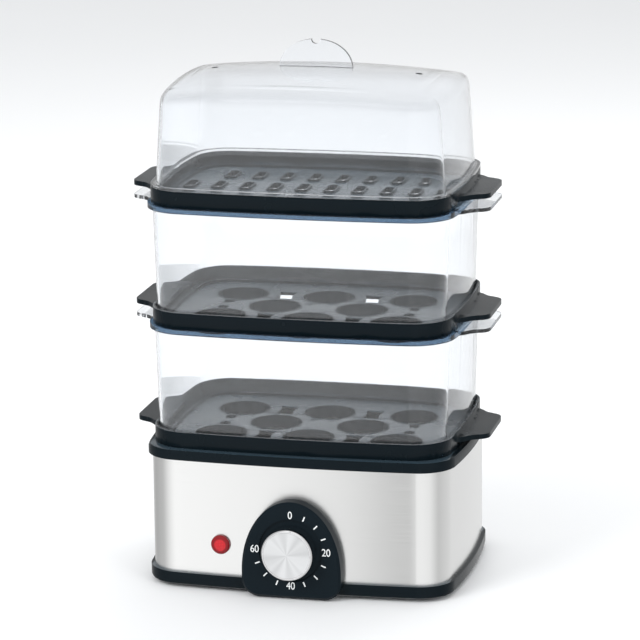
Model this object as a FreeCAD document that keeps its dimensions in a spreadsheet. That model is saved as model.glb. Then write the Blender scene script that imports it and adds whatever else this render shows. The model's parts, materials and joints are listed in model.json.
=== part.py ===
# Three-tier electric egg boiler, modelled piece by piece in millimetres.
# The origin is on the table, midway between the knob's face and the cord bush at the back.
# +Z is up, the dial is on the -Y side and +X is to the right of someone facing the dial.
# The pieces are drawn about the middle of the base, and then moved back by one shift.
import FreeCAD, Part
import math
import os
import Sketcher

doc = FreeCAD.newDocument("EggBoiler")
sheet = doc.addObject("Spreadsheet::Sheet", "Sizes")

# Driving dimensions, in millimetres unless the note says otherwise
SIZES = [
    ("half_width", 109.0, "plan outline of the steel sleeve, half its width at the middle"),
    ("half_depth", 80.5, "plan outline, half its depth at the middle"),
    ("front_bow", 5.6, "how far the front and back stand out between their ends"),
    ("side_bow", 6.7, "how far the two sides stand out between their ends"),
    ("base_corner", 23.0, "corner radius of the sleeve outline"),
    ("tier_corner", 28.9, "corner radius of the tiers, measured on the sleeve outline"),
    ("bowl_corner", 38.0, "corner radius of the bowl, measured on the sleeve outline"),
    ("foot_gap", 2.5, "height of the pan's underside above the table"),
    ("foot_radius", 7.0, "rubber foot"),
    ("foot_recess", 1.2, "how deep a foot sits in the pan"),
    ("foot_inset", 24.0, "foot centre from the outline's widest lines"),
    ("fit_gap", 0.1, "clearance of a piece pushed into its seat"),
    ("thread_gap", 0.02, "clearance of a screw in its pilot hole"),
    ("run_gap", 0.05, "radial clearance of a turning shaft"),
    ("overlap", 1.0, "how far a form runs into the one it joins, or a cut past a face"),
    ("clear_past", 5.0, "how far a cut starts outside the piece"),
    ("cut_length", 20.0, "depth of a cut through one wall of a hollow piece"),
    ("foot_bevel", 1.0, "bevel of a rubber foot's lower edge"),
    ("stud_end", 2.0, "weld stud past its nut"),
    ("seal_inset", 0.5, "seal inside the edge of the bowl's flange"),
    ("clamp_end", 0.8, "clamp screw inside its boss"),
    ("washer_height", 1.2, "washer head of a clamp screw"),
    ("strap_end", 5.0, "clamp strap past the tube's loop"),
    ("gland_lock", 2.0, "bush's locking collar behind the steel"),
    ("gland_catch", 1.5, "how far that collar stands out"),
    ("gland_edge", 1.0, "bevels of the bush"),
    ("bezel_seat", 1.5, "bezel's plate behind the sleeve's widest line, before it is fitted"),
    ("skirt_height", 9.0, "black band under the sleeve"),
    ("skirt_overhang", 2.6, "how far that band stands out from the sleeve"),
    ("skirt_round", 2.0, "rounding of the band's lower edge"),
    ("pan_floor", 2.5, "thickness of the pan's floor"),
    ("pan_wall", 2.0, "wall of the upstand inside the sleeve"),
    ("upstand_height", 12.5, "height of that upstand above the band"),
    ("vent_length", 46.0, "air slot in the pan's floor"),
    ("vent_width", 3.0, "air slot in the pan's floor"),
    ("vent_pitch", 8.0, "air slot to air slot"),
    ("vent_count", 5.0, "air slots in a row"),
    ("sleeve_height", 80.9, "visible steel"),
    ("sleeve_sheet", 0.6, "thickness of the steel"),
    ("collar_height", 7.6, "black ring on top of the steel"),
    ("collar_overhang", 3.0, "how far the ring stands out from the sleeve"),
    ("collar_round", 2.8, "rounding of the ring's upper edge"),
    ("collar_plate", 4.0, "thickness of the ring's flat top"),
    ("collar_skirt", 8.0, "depth of the collar's skirt inside the sleeve"),
    ("post_inset", 20.0, "screw post centre from the outline's widest lines"),
    ("post_radius", 4.5, "screw posts of collar and pan"),
    ("boss_height", 15.0, "pan's share of a screw post above its floor"),
    ("screw_radius", 1.6, "base screw"),
    ("screw_length", 24.0, "base screw under its head"),
    ("screw_head_radius", 3.6, "base screw"),
    ("screw_head_height", 2.4, "base screw"),
    ("screw_well", 5.0, "depth of the screw's well under the pan"),
    ("small_screw_radius", 1.3, "clamp, timer and terminal screws"),
    ("bowl_flange_inset", 14.0, "edge of the bowl's flange inside the outline"),
    ("bowl_opening_inset", 18.0, "edge of the collar's opening over the bowl"),
    ("bowl_inset", 19.5, "top of the bowl's well"),
    ("bowl_draft", 3.5, "how much narrower the well is at its bottom"),
    ("bowl_depth", 16.0, "well of the water bowl under its flange"),
    ("bowl_sheet", 0.8, "thickness of the bowl"),
    ("bowl_round", 5.0, "inner rounding of the bowl's bottom"),
    ("seal_height", 1.5, "seal between collar and bowl"),
    ("seal_width", 2.5, "seal between collar and bowl"),
    ("clamp_x", 45.0, "clamp screws of the bowl, each side of the middle"),
    ("clamp_boss_radius", 2.9, "clamp screw's boss under the collar"),
    ("washer_radius", 5.0, "washer head of a clamp screw"),
    ("element_radius", 3.3, "heating tube"),
    ("element_half_length", 62.0, "heating tube's loop along X"),
    ("element_half_width", 30.0, "heating tube's loop along Y"),
    ("element_bend", 20.0, "bend radius of the loop"),
    ("element_gap", 14.0, "each cold end from the middle"),
    ("element_drop", 20.0, "how far the cold ends reach down"),
    ("strap_x", 32.0, "clamp strap of the heating tube, each side of the middle"),
    ("strap_width", 8.0, "clamp strap"),
    ("strap_sheet", 1.5, "clamp strap"),
    ("stud_radius", 1.6, "weld stud under the bowl"),
    ("nut_radius", 3.4, "nut on a weld stud"),
    ("nut_height", 2.4, "nut on a weld stud"),
    ("thermostat_radius", 8.0, "thermostat"),
    ("thermostat_height", 12.0, "thermostat under the bowl"),
    ("thermostat_ear", 12.0, "thermostat's studs from its middle"),
    ("fuse_radius", 2.0, "thermal fuse"),
    ("fuse_length", 12.0, "thermal fuse"),
    ("fuse_x", 48.0, "thermal fuse left of the middle"),
    ("terminal_width", 34.0, "terminal block"),
    ("terminal_depth", 12.0, "terminal block"),
    ("terminal_height", 13.0, "terminal block"),
    ("terminal_y", 48.0, "terminal block behind the middle"),
    ("pedestal_height", 6.0, "pan's pedestal under the terminal block"),
    ("lead_radius", 1.1, "insulated lead"),
    ("gland_level", 36.0, "cord bush above the table"),
    ("gland_bore", 3.6, "radius of the bush's hole"),
    ("gland_radius", 6.0, "bush where it passes the sleeve"),
    ("gland_flange", 8.5, "radius of the bush's flange"),
    ("gland_flange_height", 3.0, "thickness of the bush's flange"),
    ("gland_tail", 6.0, "bush inside the sleeve"),
    ("dial_level", 35.3, "dial's centre above the table"),
    ("bezel_half_width", 35.0, "black plate behind the knob"),
    ("bezel_top", 69.6, "top of that plate above the table"),
    ("bezel_spring", 19.0, "level where its arch springs"),
    ("bezel_bottom", 1.0, "its lower edge above the table"),
    ("bezel_corner", 12.0, "its lower corners"),
    ("bezel_reach", 10.0, "how far its face stands out from the sleeve"),
    ("bezel_bevel", 1.8, "bevel of its front edge"),
    ("bezel_gap", 0.05, "clearance between bezel and sleeve"),
    ("dish_radius", 22.3, "round recess behind the knob"),
    ("dish_depth", 1.5, "round recess behind the knob"),
    ("boss_radius", 21.0, "bezel's boss through the sleeve"),
    ("boss_depth", 2.6, "bezel's boss behind the sleeve's outer face"),
    ("timer_size", 40.0, "timer case, square"),
    ("timer_depth", 22.0, "timer case"),
    ("timer_corner", 4.0, "timer case"),
    ("timer_screw_x", 13.5, "timer screws from the shaft"),
    ("timer_screw_grip", 5.0, "timer screw inside the timer case"),
    ("timer_head_radius", 2.6, "small screw's head"),
    ("timer_head_height", 1.6, "small screw's head"),
    ("timer_head_seat", 1.8, "seat of that head in the bezel's recess"),
    ("timer_bore_depth", 12.0, "shaft's bearing in the timer case"),
    ("bell_radius", 15.0, "timer's bell"),
    ("bell_height", 7.0, "timer's bell"),
    ("bell_sheet", 0.8, "timer's bell"),
    ("bell_gap", 3.0, "bell's rim behind the timer case"),
    ("shaft_radius", 3.0, "timer shaft"),
    ("shaft_flat", 2.2, "flat of the shaft from its axis"),
    ("shaft_in_knob", 9.0, "flat length of the shaft"),
    ("knob_radius", 17.9, "knob"),
    ("knob_reach", 11.5, "knob's face in front of the bezel's face"),
    ("knob_lift", 0.6, "knob's back above the recess"),
    ("knob_wall", 2.0, "knob's rim"),
    ("knob_face", 3.0, "knob's front plate"),
    ("knob_hub", 6.0, "radius of the knob's hub"),
    ("knob_bevel", 0.9, "knob's front edge"),
    ("cap_radius", 16.2, "turned disc let into the knob's face"),
    ("cap_height", 0.8, "that disc"),
    ("lamp_x", -52.0, "pilot lamp from the middle"),
    ("lamp_level", 33.6, "pilot lamp above the table"),
    ("lamp_radius", 6.75, "visible lens"),
    ("lamp_rim", 1.6, "straight edge of the lens"),
    ("lamp_dome", 1.8, "crown of the lens"),
    ("lamp_neck", 5.0, "lens where it passes the sleeve"),
    ("lamp_neck_length", 8.0, "lens behind the sleeve's outer face"),
    ("lamp_nut_radius", 8.0, "spring nut of the lamp"),
    ("lamp_nut_height", 1.2, "spring nut of the lamp"),
    ("lamp_body_radius", 4.2, "lamp's bulb holder"),
    ("lamp_body_length", 18.0, "lamp's bulb holder"),
    ("notch_side", 2.0, "pan's notch beside the timer case"),
    ("notch_depth", 12.0, "pan's notch behind the sleeve's front"),
    ("vent_start", 8.0, "air slots from the middle"),
    ("clip_sheet", 0.6, "fuse clip's spring sheet"),
    ("clip_width", 4.0, "fuse clip along the fuse"),
    ("clip_foot", 6.0, "fuse clip's feet beside the fuse"),
    ("ear_half_width", 5.0, "thermostat's ears"),
    ("ear_margin", 4.0, "thermostat's ears past their studs"),
    ("blade_x", 4.0, "thermostat's contact blades from its middle"),
    ("blade_sheet", 0.8, "contact blade"),
    ("blade_half_width", 3.0, "contact blade"),
    ("blade_length", 8.0, "contact blade"),
    ("wire_hole", 2.0, "radius of the terminal block's holes"),
    ("wire_hole_depth", 4.0, "depth of its wire holes"),
    ("wire_level", 5.0, "its wire holes above its underside"),
    ("screw_way_depth", 3.0, "depth of its screw ways"),
    ("root_flare", 4.0, "how much a handle widens at the wall"),
    ("root_depth", 1.5, "how far from the wall it widens"),
    ("tier_pitch", 84.4, "tray to tray"),
    ("tier_inset", 1.2, "tray's outer wall inside the sleeve outline"),
    ("tray_height", 11.2, "visible height of a tray"),
    ("tray_wall", 2.2, "rim of a tray"),
    ("floor_depth", 10.3, "tray's floor under its rim"),
    ("floor_thickness", 2.4, "tray's floor"),
    ("well_gap", 0.5, "tray's well inside the piece that carries it"),
    ("well_recess", 1.8, "depth of the collar's recess for a tray's well"),
    ("container_wall", 1.8, "clear plastic"),
    ("container_top_inset", 2.4, "container's wall under its flange"),
    ("container_foot_gap", 1.2, "container's foot inside the tray's rim"),
    ("flange_overhang", 1.1, "container's flange outside the sleeve outline"),
    ("flange_height", 3.6, "edge of the container's flange"),
    ("tray_tab_root", 30.0, "half length of a tray's handle at the wall"),
    ("tray_tab_tip", 20.5, "half length of its free edge"),
    ("tab_reach", 126.0, "handles' free edges from the middle"),
    ("tray_tab_height", 3.4, "thickness of a tray's handle"),
    ("tray_tab_drop", 3.4, "its top under the rim"),
    ("container_tab_root", 37.0, "half length of a container's handle at the wall"),
    ("container_tab_tip", 27.5, "half length of its free edge"),
    ("container_tab_height", 2.6, "thickness of a container's handle"),
    ("container_tab_drop", 1.0, "its underside below the flange"),
    ("tab_corner", 7.0, "corners of the handles' free edges"),
    ("egg_radius", 18.4, "egg hole"),
    ("egg_pitch", 62.5, "egg hole to egg hole in a row"),
    ("egg_row", 33.0, "row to row"),
    ("vent_hole_radius", 4.2, "round steam hole"),
    ("vent_hole_x", 66.5, "steam holes from the middle"),
    ("vent_hole_y", 8.5, "steam holes from the middle"),
    ("slot_web", 8.0, "web between an egg hole and a waisted slot"),
    ("slot_half", 10.0, "half length of a waisted slot"),
    ("steam_columns", 10.0, "steam slots along X in the longest row"),
    ("steam_rows", 3.0, "steam slots along Y"),
    ("steam_pitch_x", 20.0, "slot to slot along X"),
    ("steam_pitch_y", 37.0, "slot to slot along Y"),
    ("steam_radius", 3.6, "half width of a steam slot"),
    ("steam_half", 10.5, "half length of a steam slot"),
    ("steam_chamfer", 2.2, "cut corners of a steam slot"),
    ("lid_inset", 4.9, "lid's wall inside the sleeve outline, at its foot"),
    ("lid_shoulder", 72.2, "top of the lid's rounded shoulder above the tray's rim"),
    ("lid_crown", 76.0, "middle of the lid above the tray's rim"),
    ("crown_radius_x", 900.0, "curvature of the lid's top along X"),
    ("crown_radius_y", 256.0, "curvature of the lid's top along Y"),
    ("crown_margin", 10.0, "cutting form of the crown past the lid's outline"),
    ("crown_clear", 20.0, "that form above the crown"),
    ("lid_draft", 4.0, "slope of the lid's walls, in degrees"),
    ("lid_round", 17.0, "rounding of the lid's upper edge"),
    ("lid_wall", 1.8, "clear plastic"),
    ("lid_flange", 2.0, "thickness of the lid's flange"),
    ("lid_lip", 2.5, "lid's lip inside the tray's rim"),
    ("lip_gap", 0.4, "clearance of that lip"),
    ("grip_half", 26.0, "half length of the lid's grip"),
    ("grip_height", 19.0, "lid's grip above the lid"),
    ("grip_flat", 9.0, "half length of the grip's flat top"),
    ("grip_shoulder", 21.5, "half length of the grip where its shoulder turns in"),
    ("grip_lean", 1.5, "how far the grip's ends lean in up to there"),
    ("grip_sink", 1.3, "grip's foot below the lid's top"),
    ("grip_turn", 5.0, "how far the grip's shoulder turns in"),
    ("grip_thickness", 3.0, "lid's grip"),
    ("grip_notch", 3.2, "round notch in the grip"),
    ("lid_vent_radius", 2.4, "steam hole in the lid"),
    ("lid_vent_x", 72.0, "lid's steam holes from the middle"),
]
for row, (alias, number, note) in enumerate(SIZES, start=1):
    sheet.set("A%d" % row, alias)
    sheet.set("B%d" % row, str(number))
    sheet.setAlias("B%d" % row, alias)
    sheet.set("C%d" % row, note)
doc.recompute()

ALIASES = sorted((alias for alias, number, note in SIZES), key=len, reverse=True)
NODES = []


def bound(text):
    """An expression on the sheet: every size's name gets the sheet's name in front."""
    words = []
    word = ""
    for letter in text + " ":
        if letter.isalnum() or letter == "_":
            word += letter
            continue
        words.append("Sizes." + word if word in ALIASES else word)
        words.append(letter)
        word = ""
    return "".join(words).strip()


def value(text):
    """The number that an expression has now."""
    return float(sheet.evalExpression(bound(str(text))))


# Levels and radii that follow from the driving dimensions
SLEEVE_BOTTOM = "(foot_gap + skirt_height)"
SLEEVE_TOP = "(foot_gap + skirt_height + sleeve_height)"
COLLAR_TOP = "(foot_gap + skirt_height + sleeve_height + collar_height)"
PLATE_UNDER = "(" + COLLAR_TOP + " - collar_plate)"
FLANGE_TOP = "(" + PLATE_UNDER + " - seal_height)"
FLANGE_UNDER = "(" + FLANGE_TOP + " - bowl_sheet)"
BOWL_UNDER = "(" + FLANGE_UNDER + " - bowl_depth)"
POST_BOTTOM = "(foot_gap + pan_floor + boss_height)"
INNER_SEAT = "(0 - sleeve_sheet - fit_gap)"
FRONT_RADIUS = "((half_width ^ 2 + front_bow ^ 2) / (2 * front_bow))"
SIDE_RADIUS = "((half_depth ^ 2 + side_bow ^ 2) / (2 * side_bow))"
BEZEL_FACE = "(half_depth + bezel_reach)"
TIMER_FRONT = "(half_depth - boss_depth)"
LID_FOOT = "(" + COLLAR_TOP + " + 2 * tier_pitch + tray_height)"


def bind(item, prop, text):
    item.setExpression(prop, bound(str(text)))


def new_body(label):
    body = doc.addObject("PartDesign::Body", label)
    body.Label = label
    return body


def node(item, label):
    """Keep an object as one of the product's pieces."""
    item.Label = label
    NODES.append(item)
    return item


def new_sketch(body, name, role="XY_Plane", level="0"):
    """A sketch on one of the body's own planes, moved along the plane's normal."""
    sketch = body.newObject("Sketcher::SketchObject", body.Name + "_" + name)
    plane = [item for item in body.Origin.OriginFeatures if item.Role == role][0]
    sketch.AttachmentSupport = [(plane, "")]
    sketch.MapMode = "FlatFace"
    bind(sketch, "AttachmentOffset.Base.z", level)
    return sketch


def tie(sketch, *dimensions):
    """Add dimensions to a sketch and bind each of them to the sheet."""
    indices = sketch.addConstraint([constraint for constraint, text in dimensions])
    for index, (constraint, text) in zip(indices, dimensions):
        bind(sketch, "Constraints[%d]" % index, text)


def corner_centre(corner):
    """Centre of the corner arc that touches the bowed front and the bowed side."""
    front, side = value(FRONT_RADIUS), value(SIDE_RADIUS)
    front_y, side_x = front - value("half_depth"), side - value("half_width")
    reach_front, reach_side = front - corner, side - corner
    apart = math.hypot(side_x, front_y)
    along = (reach_front ** 2 - reach_side ** 2 + apart ** 2) / (2 * apart)
    across = math.sqrt(reach_front ** 2 - along ** 2)
    ux, uy = -side_x / apart, -front_y / apart
    return along * ux - across * uy, front_y + along * uy + across * ux


def add_outline(sketch, offset, corner):
    """The bowed oblong of the product: four shallow arcs and four corner arcs.

    offset is how far it lies outside the sleeve's outline, and corner names the
    radius that its corners would have on that outline.
    """
    out, radius = value(offset), value(corner)
    front, side = value(FRONT_RADIUS), value(SIDE_RADIUS)
    front_y, side_x = front - value("half_depth"), side - value("half_width")
    cx, cy = corner_centre(radius)
    if cy > 0:
        cy = -cy
    low = math.atan2(cy - front_y, cx)
    high = math.atan2(cy, cx + side_x)
    turn = math.pi
    arcs = [
        (0, front_y, front, -turn - low, low),
        (cx, cy, radius, low, high),
        (-side_x, 0, side, high, -high),
        (cx, -cy, radius, -high, -low),
        (0, -front_y, front, -low, turn + low),
        (-cx, -cy, radius, turn + low, turn + high),
        (side_x, 0, side, turn + high, turn - high),
        (-cx, cy, radius, turn - high, turn - low),
    ]
    first = len(sketch.Geometry)
    for x, y, r, start, end in arcs:
        circle = Part.Circle(FreeCAD.Vector(x, y, 0), FreeCAD.Vector(0, 0, 1), r + out)
        sketch.addGeometry(Part.ArcOfCircle(circle, start, end), False)
    rules = [Sketcher.Constraint("Tangent", first + i, 2, first + (i + 1) % 8, 1) for i in range(8)]
    for index, axis in ((0, -2), (4, -2), (2, -1), (6, -1)):
        rules.append(Sketcher.Constraint("PointOnObject", first + index, 3, axis))
    sketch.addConstraint(rules)
    front_text = FRONT_RADIUS + " - half_depth"
    side_text = SIDE_RADIUS + " - half_width"
    make = Sketcher.Constraint
    dimensions = [(make("DistanceY", -1, 1, first, 3, front_y), front_text),
                  (make("DistanceY", first + 4, 3, -1, 1, front_y), front_text),
                  (make("DistanceX", first + 2, 3, -1, 1, side_x), side_text),
                  (make("DistanceX", -1, 1, first + 6, 3, side_x), side_text)]
    for index in range(8):
        text = (FRONT_RADIUS, corner, SIDE_RADIUS, corner)[index % 4]
        dimensions.append((make("Radius", first + index, arcs[index][2] + out), text + " + " + offset))
    tie(sketch, *dimensions)


def add_polygon(sketch, points):
    """A closed run of straight lines; each point is a pair of expressions."""
    first = len(sketch.Geometry)
    spots = [FreeCAD.Vector(value(x), value(y), 0) for x, y in points]
    count = len(points)
    for i in range(count):
        sketch.addGeometry(Part.LineSegment(spots[i], spots[(i + 1) % count]), False)
    make = Sketcher.Constraint
    sketch.addConstraint([make("Coincident", first + i, 2, first + (i + 1) % count, 1) for i in range(count)])
    dimensions = []
    for i, (x, y) in enumerate(points):
        dimensions.append((make("DistanceX", -1, 1, first + i, 1, spots[i].x), x))
        dimensions.append((make("DistanceY", -1, 1, first + i, 1, spots[i].y), y))
    tie(sketch, *dimensions)


def add_circle(sketch, x, y, radius):
    index = len(sketch.Geometry)
    centre = FreeCAD.Vector(value(x), value(y), 0)
    sketch.addGeometry(Part.Circle(centre, FreeCAD.Vector(0, 0, 1), value(radius)), False)
    tie(sketch, (Sketcher.Constraint("DistanceX", -1, 1, index, 3, centre.x), x),
        (Sketcher.Constraint("DistanceY", -1, 1, index, 3, centre.y), y),
        (Sketcher.Constraint("Radius", index, value(radius)), radius))


def add_slot(sketch, x, y):
    """An oblong steam slot with cut corners, long in Y."""
    right, left = x + " + steam_radius", x + " - steam_radius"
    back, front = y + " + steam_half", y + " - steam_half"
    add_polygon(sketch, [(right, front + " + steam_chamfer"), (right, back + " - steam_chamfer"),
                         (right + " - steam_chamfer", back), (left + " + steam_chamfer", back),
                         (left, back + " - steam_chamfer"), (left, front + " + steam_chamfer"),
                         (left + " + steam_chamfer", front), (right + " - steam_chamfer", front)])


def add_waisted_slot(sketch, x, y):
    """A slot whose sides curve in, at one distance from the egg holes beside it."""
    first = len(sketch.Geometry)
    bend = "(egg_radius + slot_web)"
    reach = value("egg_pitch / 2")
    r, half, cx, cy = value(bend), value("slot_half"), value(x), value(y)
    swing = math.asin(half / r)
    edge = r * math.cos(swing)
    up = FreeCAD.Vector(0, 0, 1)
    right = Part.Circle(FreeCAD.Vector(cx + reach, cy, 0), up, r)
    left = Part.Circle(FreeCAD.Vector(cx - reach, cy, 0), up, r)
    spots = [(cx + reach - edge, cy + half), (cx - reach + edge, cy + half),
             (cx - reach + edge, cy - half), (cx + reach - edge, cy - half)]
    p = [FreeCAD.Vector(px, py, 0) for px, py in spots]
    sketch.addGeometry(Part.LineSegment(p[0], p[1]), False)
    sketch.addGeometry(Part.ArcOfCircle(left, -swing, swing), False)
    sketch.addGeometry(Part.LineSegment(p[2], p[3]), False)
    sketch.addGeometry(Part.ArcOfCircle(right, math.pi - swing, math.pi + swing), False)
    make = Sketcher.Constraint
    joins = ((0, 2, 1, 2), (1, 1, 2, 1), (2, 2, 3, 2), (3, 1, 0, 1))
    meeting = [make("Coincident", first + a, end_a, first + b, end_b) for a, end_a, b, end_b in joins]
    sketch.addConstraint(meeting)
    dimensions = []
    for index, side in ((1, " - "), (3, " + ")):
        spot = x + side + "egg_pitch / 2"
        dimensions.append((make("DistanceX", -1, 1, first + index, 3, value(spot)), spot))
        dimensions.append((make("DistanceY", -1, 1, first + index, 3, cy), y))
        dimensions.append((make("Radius", first + index, r), bend))
    for index, side in ((0, " + "), (2, " - ")):
        spot = y + side + "slot_half"
        for end in (1, 2):
            dimensions.append((make("DistanceY", -1, 1, first + index, end, value(spot)), spot))
    tie(sketch, *dimensions)


def settle(feature):
    """Recompute and stop with the feature's name if it failed."""
    doc.recompute()
    bad = [state for state in feature.State if state in ("Invalid", "Error")]
    if bad or feature.Shape.isNull():
        raise RuntimeError(feature.Name + " failed: " + str(feature.State))
    return feature


def pad(body, name, sketch, length, reverse=False):
    feature = body.newObject("PartDesign::Pad", body.Name + "_" + name)
    feature.Profile = sketch
    bind(feature, "Length", length)
    feature.Reversed = reverse
    return settle(feature)


def pocket(body, name, sketch, length, reverse=False):
    """Cut a sketch out of the body, and check that it took material away."""
    before = body.Shape.Volume
    feature = body.newObject("PartDesign::Pocket", body.Name + "_" + name)
    feature.Profile = sketch
    bind(feature, "Length", length)
    feature.Reversed = reverse
    settle(feature)
    if feature.Shape.Volume >= before:
        raise RuntimeError(feature.Name + " cuts nothing")
    return feature


def stack(body, name, rings, corner, additive=True):
    """Straight bands from ring to ring; each ring is a level and an offset."""
    plans = []
    for index, (level, offset) in enumerate(rings):
        plans.append(ring_sketch(body, "%s_ring_%d" % (name, index), level, [(offset, corner)]))
    kind = "PartDesign::AdditiveLoft" if additive else "PartDesign::SubtractiveLoft"
    feature = body.newObject(kind, body.Name + "_" + name)
    feature.Profile = plans[0]
    feature.Sections = plans[1:]
    feature.Ruled = True
    return settle(feature)


def rounded_band(body, name, low, height, offset, corner, radius, upwards):
    """A band whose one outer edge is rounded off in two straight steps."""
    high = "(%s + %s)" % (low, height)
    steps = [(radius, "0"), ("0.3 * " + radius, "0.3 * " + radius), ("0", radius)]
    if upwards:
        rings = [(low, offset)] + [(high + " - " + down, offset + " - " + back) for down, back in steps]
    else:
        rings = [(low + " + " + up, offset + " - " + back) for up, back in reversed(steps)]
        rings.append((high, offset))
    return stack(body, name, rings, corner)


def round_edges(body, name, base, chosen, radius):
    """Round the edges of base that the function chosen picks."""
    names = ["Edge%d" % (i + 1) for i, edge in enumerate(base.Shape.Edges) if chosen(edge)]
    feature = body.newObject("PartDesign::Fillet", body.Name + "_" + name)
    feature.Base = (base, names)
    bind(feature, "Radius", radius)
    return settle(feature)


def bevel_edges(body, name, base, chosen, size):
    names = ["Edge%d" % (i + 1) for i, edge in enumerate(base.Shape.Edges) if chosen(edge)]
    feature = body.newObject("PartDesign::Chamfer", body.Name + "_" + name)
    feature.Base = (base, names)
    bind(feature, "Size", size)
    return settle(feature)


def near(a, b):
    return abs(a - b) < 0.01


def flat_at(edge, level):
    """True for an edge that lies level at this height."""
    box = edge.BoundBox
    return near(box.ZMin, level) and near(box.ZMax, level)


def ring_sketch(body, name, level, outlines):
    """A sketch with one or two outlines; two of them leave a ring."""
    sketch = new_sketch(body, name, "XY_Plane", level)
    for offset, corner in outlines:
        add_outline(sketch, offset, corner)
    return sketch


def turned(label, points, turn=None):
    """A piece turned about its own Z axis; points are radius and height."""
    body = new_body(label)
    sketch = new_sketch(body, "profile", "XZ_Plane")
    add_polygon(sketch, points)
    feature = body.newObject("PartDesign::Revolution", body.Name + "_turned")
    feature.Profile = sketch
    feature.ReferenceAxis = (sketch, ["V_Axis"])
    feature.Angle = 360
    settle(feature)
    if turn is not None:
        body.Placement = FreeCAD.Placement(FreeCAD.Vector(0, 0, 0), turn)
    return body


def place(item, x="0", y="0", z="0"):
    bind(item, "Placement.Base.x", x)
    bind(item, "Placement.Base.y", y)
    bind(item, "Placement.Base.z", z)
    return item


def group(label, items):
    """Several separate solids that share one node."""
    together = doc.addObject("Part::Compound", label)
    together.Links = items
    settle(together)
    return node(together, label)


TO_FRONT = FreeCAD.Rotation(FreeCAD.Vector(1, 0, 0), 90)
TO_BACK = FreeCAD.Rotation(FreeCAD.Vector(1, 0, 0), -90)
CORNERS = [("", ""), ("0 - ", ""), ("", "0 - "), ("0 - ", "0 - ")]


def screw(label, shank, length, head, head_height, turn=None):
    """A round-headed screw: its head's underside is at its origin, its tip at +Z."""
    points = [("0", "0 - " + head_height), (head, "0 - " + head_height), (head, "0"),
              (shank, "0"), (shank, length), ("0", length)]
    return turned(label, points, turn)


# Base pan: the black bottom that carries everything
def make_base_pan():
    body = new_body("base_pan")
    top = SLEEVE_BOTTOM
    rounded_band(body, "band", "foot_gap", "skirt_height", "skirt_overhang", "base_corner",
                 "skirt_round", False)
    upstand = ring_sketch(body, "upstand_plan", top, [(INNER_SEAT, "base_corner")])
    pad(body, "upstand", upstand, "upstand_height")
    inner = "(%s - pan_wall)" % INNER_SEAT
    pocket(body, "hollow", ring_sketch(body, "hollow_plan", "foot_gap + pan_floor", [(inner, "base_corner")]),
           "skirt_height + upstand_height", True)
    posts = new_sketch(body, "post_plan", "XY_Plane", "foot_gap + pan_floor / 2")
    wells = new_sketch(body, "well_plan", "XY_Plane", "foot_gap")
    holes = new_sketch(body, "hole_plan", "XY_Plane", "foot_gap")
    seats = new_sketch(body, "foot_plan", "XY_Plane", "foot_gap")
    for sx, sy in CORNERS:
        x, y = sx + "(half_width - post_inset)", sy + "(half_depth - post_inset)"
        add_circle(posts, x, y, "post_radius")
        add_circle(wells, x, y, "screw_head_radius + fit_gap")
        add_circle(holes, x, y, "screw_radius + fit_gap")
        add_circle(seats, sx + "(half_width - 2 * foot_inset)", sy + "(half_depth - foot_inset)",
                   "foot_radius + fit_gap")
    pad(body, "posts", posts, "boss_height + pan_floor / 2")
    pocket(body, "holes", holes, "boss_height + pan_floor", True)
    pocket(body, "wells", wells, "screw_well", True)
    pocket(body, "foot_seats", seats, "foot_recess", True)
    pedestal = new_sketch(body, "pedestal_plan", "XY_Plane", "foot_gap + pan_floor / 2")
    px, py = "terminal_width / 3", "terminal_depth / 3"
    add_polygon(pedestal, [("0 - " + px, "terminal_y - " + py), (px, "terminal_y - " + py),
                           (px, "terminal_y + " + py), ("0 - " + px, "terminal_y + " + py)])
    pad(body, "pedestal", pedestal, "pedestal_height + pan_floor / 2")
    pilot = new_sketch(body, "pilot_plan", "XY_Plane", "foot_gap + pan_floor + pedestal_height")
    add_circle(pilot, "0", "terminal_y", "small_screw_radius + thread_gap")
    pocket(body, "pilot", pilot, "pedestal_height")
    slots = new_sketch(body, "vent_plan", "XY_Plane", "foot_gap")
    count = int(value("vent_count"))
    for i in range(count):
        y = "((%d - vent_count / 2) * vent_pitch)" % i
        for side in ("0 - ", ""):
            x0, x1 = side + "vent_start", side + "(vent_start + vent_length)"
            add_polygon(slots, [(x0, y), (x1, y), (x1, y + " + vent_width"), (x0, y + " + vent_width")])
    pocket(body, "vents", slots, "pan_floor", True)
    notch = new_sketch(body, "notch_plan", "XY_Plane", top)
    half, back = "(timer_size / 2 + notch_side)", "notch_depth - half_depth"
    add_polygon(notch, [("0 - " + half, "0 - half_depth"), (half, "0 - half_depth"),
                        (half, back), ("0 - " + half, back)])
    pocket(body, "notch", notch, "upstand_height + overlap", True)
    return node(body, "base_pan")


def make_feet():
    feet = []
    for index, (sx, sy) in enumerate(CORNERS):
        foot = turned("rubber_foot_%d" % (index + 1),
                      [("0", "0"), ("foot_radius - foot_bevel", "0"), ("foot_radius", "foot_bevel"),
                       ("foot_radius", "foot_gap + foot_recess"), ("0", "foot_gap + foot_recess")])
        feet.append(place(foot, sx + "(half_width - 2 * foot_inset)", sy + "(half_depth - foot_inset)"))
    return group("rubber_feet", feet)


def make_base_screws():
    screws = []
    for index, (sx, sy) in enumerate(CORNERS):
        piece = screw("base_screw_%d" % (index + 1), "screw_radius", "screw_length",
                      "screw_head_radius", "screw_head_height")
        screws.append(place(piece, sx + "(half_width - post_inset)", sy + "(half_depth - post_inset)",
                            "foot_gap + screw_well"))
    return group("base_screws", screws)


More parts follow.
